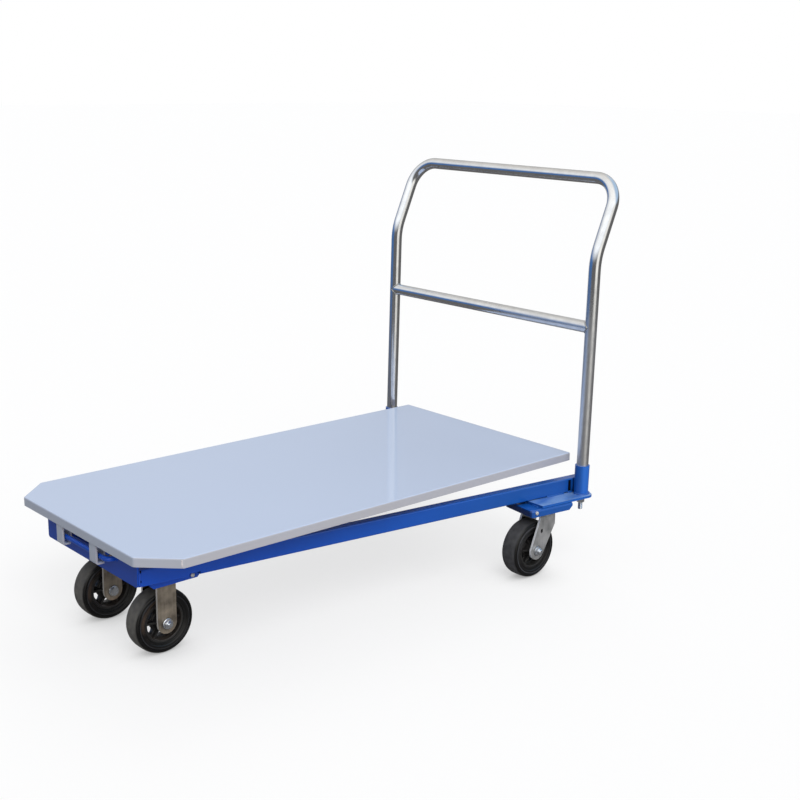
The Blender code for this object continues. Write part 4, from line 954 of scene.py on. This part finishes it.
def add_spoke_ribs(shape, axis):
    """A tapered rib on each face of each spoke, from the hub to the rim."""
    sizes = (
        (0.0180, 0.0034, 0.0190), (0.0250, 0.0029, 0.0150),
        (0.0340, 0.0026, 0.0128), (0.0436, 0.0030, 0.0140),
    )
    for each in range(6):
        turn = axis @ Matrix.Rotation(math.tau * each / 6, 4, "Z")
        for face in (-1, 1):
            rings = []
            for radius, width, height in sizes:
                half = [(width, 0.003), (width, height - 0.0016), (width * 0.72, height - 0.0004)]
                section = [(-y, z) for y, z in half] + [(0, height)] + half[::-1]
                rings.append([turn @ Vector((radius, y, face * z)) for y, z in section])
            skin(shape, rings)


def add_web(shape, axis):
    """The plate between hub and rim, with a rounded window between each two spokes."""
    curve = bpy.data.curves.new("web", "CURVE")
    curve.dimensions = "2D"
    curve.fill_mode = "BOTH"
    curve.extrude = 0.0042
    curve.bevel_depth = 0.0014
    curve.bevel_resolution = 2
    sides = 72
    turns = [math.tau * each / sides for each in range(sides)]
    outlines = [
        [(radius * math.cos(t), radius * math.sin(t)) for t in turns] for radius in (0.0424, 0.0160)
    ]
    for each in range(6):
        middle = math.tau * (each + 0.5) / 6
        corners = []
        for radius, edge in ((0.0262, -1), (0.0400, -1), (0.0400, 1), (0.0262, 1)):
            aside = math.pi / 6 - math.asin(0.0056 / radius)
            corners.append((radius, middle + edge * aside))
        outline = []
        for (r0, a0), (r1, a1) in zip(corners, corners[1:] + corners[:1]):
            for step in range(1, 8):
                share = min(max((step / 8 - 0.12) / 0.76, 0), 1) * 0.8 + 0.1
                r, a = r0 + (r1 - r0) * share, a0 + (a1 - a0) * share
                outline.append((r * math.cos(a), r * math.sin(a)))
        outlines.append(outline)
    for outline in outlines:
        spline = curve.splines.new("POLY")
        spline.points.add(len(outline) - 1)
        for point, (x, y) in zip(spline.points, outline):
            point.co = (x, y, 0, 1)
        spline.use_cyclic_u = True
    holder = bpy.data.objects.new("web", curve)
    bpy.context.scene.collection.objects.link(holder)
    graph = bpy.context.evaluated_depsgraph_get()
    mesh = bpy.data.meshes.new_from_object(holder.evaluated_get(graph))
    mesh.transform(axis)
    shape.from_mesh(mesh)
    bpy.data.objects.remove(holder)
    bpy.data.curves.remove(curve)
    bpy.data.meshes.remove(mesh)


def make_wheels():
    """The tyres, and the cores with rim, hub, web and spoke ribs."""
    rim = mirrored_profile([
        (0.0500, 0.0206), (0.0494, 0.0212), (0.0448, 0.0212), (0.0440, 0.0206),
        (0.0436, 0.0180), (0.0424, 0.0075), (0.0418, 0.0052),
    ])
    hub = mirrored_profile([
        (0.0099, HUB_HALF), (0.0172, HUB_HALF), (0.0182, 0.0271), (0.0186, 0.0240),
        (0.0198, 0.0110), (0.0212, 0.0066), (0.0240, 0.0050),
    ])
    for end in ENDS:
        dust_and_highlight = WHEEL_DUST_AND_HIGHLIGHT[end]
        for side, _ in SIDES:
            body = f"{end}_wheel_{side}"
            tyre, core = f"{end}_tyre_{side}", f"{end}_wheel_core_{side}"
            low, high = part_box(tyre)
            axis = axes_at((low + high) / 2, Y_AXIS)
            shape = bmesh.new()
            lathe_loop(shape, axis, tyre_section(), 120)
            look = rubber(tyre, dust_and_highlight["tread"], dust_and_highlight["bead_brown"], dust_and_highlight["ridge_highlight"])
            piece(f"{end}_tyre_detail_{side}", shape, look, body, [tyre])
            shape = bmesh.new()
            lathe_loop(shape, axis, rim, 96)
            lathe_loop(shape, axis, hub, 48)
            add_spoke_ribs(shape, axis)
            add_web(shape, axis)
            look = core_finish(core, dust_and_highlight["core"])
            piece(f"{end}_core_detail_{side}", shape, look, body, [core])


# Carried-over solids

def dress_nodes(looks):
    """Gives each solid the finish of its name, or else of the material that it came with."""
    own_looks = {
        "front_fork": "front_fork",
        "rear_fork": "rear_fork",
        "rear_foot_plate": "foot_paint",
        "handle_socket": "socket_paint",
        "rear_caster_bracket": "bracket_paint",
    }
    for name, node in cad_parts.items():
        came_with = node.data.materials[0].name.split(".")[0] if node.data.materials else ""
        look = looks.get(came_with, looks["bright_steel"])
        for start, own in own_looks.items():
            if name.startswith(start):
                look = looks[own]
        if any(word in name for word in ("bolt", "nut", "stud")):
            look = looks["zinc_fasteners"]
        node.data.materials.clear()
        node.data.materials.append(look)


# Stage

def make_stage():
    """A plain pale floor, white to the camera but for its shadow, which is partly real and partly
    painted from ambient occlusion; no mirror image shows it.
    """
    floor_mesh = bpy.data.meshes.new("floor")
    reach = 40
    floor_mesh.from_pydata(
        [(-reach, -reach, 0), (reach, -reach, 0), (reach, reach, 0), (-reach, reach, 0)],
        [],
        [(0, 1, 2, 3)],
    )
    floor = bpy.data.objects.new("floor", floor_mesh)
    floor.location.z = -0.0002
    bpy.context.scene.collection.objects.link(floor)
    finish = bpy.data.materials.new("floor_finish")
    finish.use_nodes = True
    made = Nodes(finish.node_tree)
    made.tree.nodes.clear()
    pale = made.add("ShaderNodeBsdfDiffuse", {"Color": (0.48, 0.48, 0.49, 1)}).outputs[0]
    white = made.add("ShaderNodeBsdfDiffuse", {"Color": (0.96, 0.96, 0.96, 1)}).outputs[0]
    # Painted shadow: the floor's emission dims near things, by ambient occlusion; a share of real
    # lit shading is mixed in.
    near = made.add("ShaderNodeAmbientOcclusion", {"Distance": 0.16}, samples=8)
    glow_with_painted_shadow = made.spread(near.outputs["AO"], 0.0, 0.85, 0.42, 1.0)
    shown = made.add("ShaderNodeEmission", {"Strength": glow_with_painted_shadow}).outputs[0]
    clear = made.add("ShaderNodeBsdfTransparent").outputs[0]
    ray = made.add("ShaderNodeLightPath").outputs
    shown = made.mix_shaders(0.3, shown, white)
    hidden = made.mix_shaders(ray["Is Glossy Ray"], pale, clear)
    made.add(
        "ShaderNodeOutputMaterial",
        {"Surface": made.mix_shaders(ray["Is Camera Ray"], hidden, shown)},
    )
    floor_mesh.materials.append(finish)


def make_world():
    """White to the camera, and even light on the object.

    Metal mirrors a sky that is brightest at the front left and dim behind, a blue horizon, dark
    ground and a bright opening at the left.
    """
    world = bpy.data.worlds.new("studio")
    bpy.context.scene.world = world
    world.use_nodes = True
    made = Nodes(world.node_tree)
    made.tree.nodes.clear()
    toward = made.add("ShaderNodeTexCoord").outputs["Generated"]
    height = made.add("ShaderNodeSeparateXYZ", {0: toward}).outputs[2]
    beyond = made.along(toward, (0.663, 0.749, 0))
    sky = made.blend(made.spread(beyond, -0.5, 1), (1.34, 1.38, 1.40, 1), (0.56, 0.55, 0.53, 1))
    overhead = made.spread(height, 0.35, 0.75)
    sky = made.blend(overhead, sky, made.blend(1.0, sky, (1.02, 0.97, 0.90, 1), "MULTIPLY"))
    clear = made.spread(made.along(toward, (0.70, -0.40, 0.60)), 0.62, 0.90)
    sky = made.blend(clear, sky, (0.54, 0.72, 0.92, 1))
    blue = made.math(
        "MULTIPLY",
        made.spread(height, -0.22, -0.10),
        made.spread(made.along(toward, (-0.545, 0.839, 0)), 0.62, 0.84),
    )
    ground = made.blend(blue, (0.155, 0.15, 0.145, 1), (0.07, 0.18, 0.42, 1))
    pale = made.math(
        "MULTIPLY",
        made.spread(height, -0.42, -0.25),
        made.spread(made.along(toward, (0.407, 0.914, 0)), 0.90, 0.95),
    )
    ground = made.blend(pale, ground, (0.52, 0.53, 0.55, 1))
    mirrored = made.blend(made.spread(height, 0.12, 0.42), ground, sky)
    opening = made.math(
        "MULTIPLY",
        made.spread(made.along(toward, (-0.113, -0.994, 0)), 0.86, 0.97),
        made.spread(height, -0.38, -0.12),
    )
    mirrored = made.blend(opening, mirrored, (1.2, 1.16, 1.06, 1))
    even = made.add(
        "ShaderNodeBackground", {"Color": (0.97, 0.98, 1.0, 1), "Strength": 0.58}
    ).outputs[0]
    white = made.add("ShaderNodeBackground", {"Color": (1, 1, 1, 1)}).outputs[0]
    mirrored = made.add("ShaderNodeBackground", {"Color": mirrored}).outputs[0]
    ray = made.add("ShaderNodeLightPath").outputs
    lit = made.mix_shaders(ray["Is Glossy Ray"], even, mirrored)
    made.add(
        "ShaderNodeOutputWorld", {"Surface": made.mix_shaders(ray["Is Camera Ray"], lit, white)}
    )


def soft_light(name, toward, level):
    """A wide distant light. A white face square to it gets this level from it."""
    lamp = bpy.data.lights.new(name, "SUN")
    lamp.energy = level * math.pi
    lamp.angle = math.radians(40)
    holder = bpy.data.objects.new(name, lamp)
    bpy.context.scene.collection.objects.link(holder)
    holder.rotation_euler = Vector(toward).to_track_quat("Z", "Y").to_euler()
    holder.visible_glossy = False


def make_camera():
    """A camera given by its turn in radians, and its focal length and middle in pixels."""
    place = Vector((DECK_FRONT - 1.2376, -2.4584, 1.2778))
    yaw, pitch, roll = 0.725, -0.2395, 0.0133
    focal, middle_x, middle_y, width = 1274.2, 394.7, 383.05, 800
    ahead = Vector(
        (math.sin(yaw) * math.cos(pitch), math.cos(yaw) * math.cos(pitch), math.sin(pitch))
    )
    right = Vector((math.cos(yaw), -math.sin(yaw), 0))
    up = right.cross(ahead)
    rolled = math.cos(roll) * right + math.sin(roll) * up
    upright = -math.sin(roll) * right + math.cos(roll) * up
    camera = bpy.data.cameras.new("camera")
    camera.sensor_width = 36
    camera.lens = focal / width * camera.sensor_width
    camera.shift_x = (width / 2 - middle_x) / width
    camera.shift_y = (middle_y - width / 2) / width
    camera.clip_end = 100
    holder = bpy.data.objects.new("camera", camera)
    bpy.context.scene.collection.objects.link(holder)
    matrix = Matrix((rolled, upright, -ahead)).transposed().to_4x4()
    matrix.translation = place
    holder.matrix_world = matrix
    bpy.context.scene.camera = holder


looks = finishes()
dress_nodes(looks)
make_handle(looks)
make_frame_welds(looks)
make_rail_slots(looks)
make_bracket_welds(looks)
make_deck_welds(looks)
make_hooks(looks)
make_rear_forks(looks)
make_axle_fasteners(looks)
make_bracket_bolts(looks)
make_handle_studs(looks)
make_wheels()

make_stage()
make_world()
soft_light("key", (-0.30, -0.65, 0.70), 0.46)
soft_light("fill", (0.66, -0.61, 0.44), 0.10)
soft_light("back", (0.50, 0.60, 0.62), 0.13)
make_camera()
bpy.context.scene.view_settings.view_transform = "Standard"
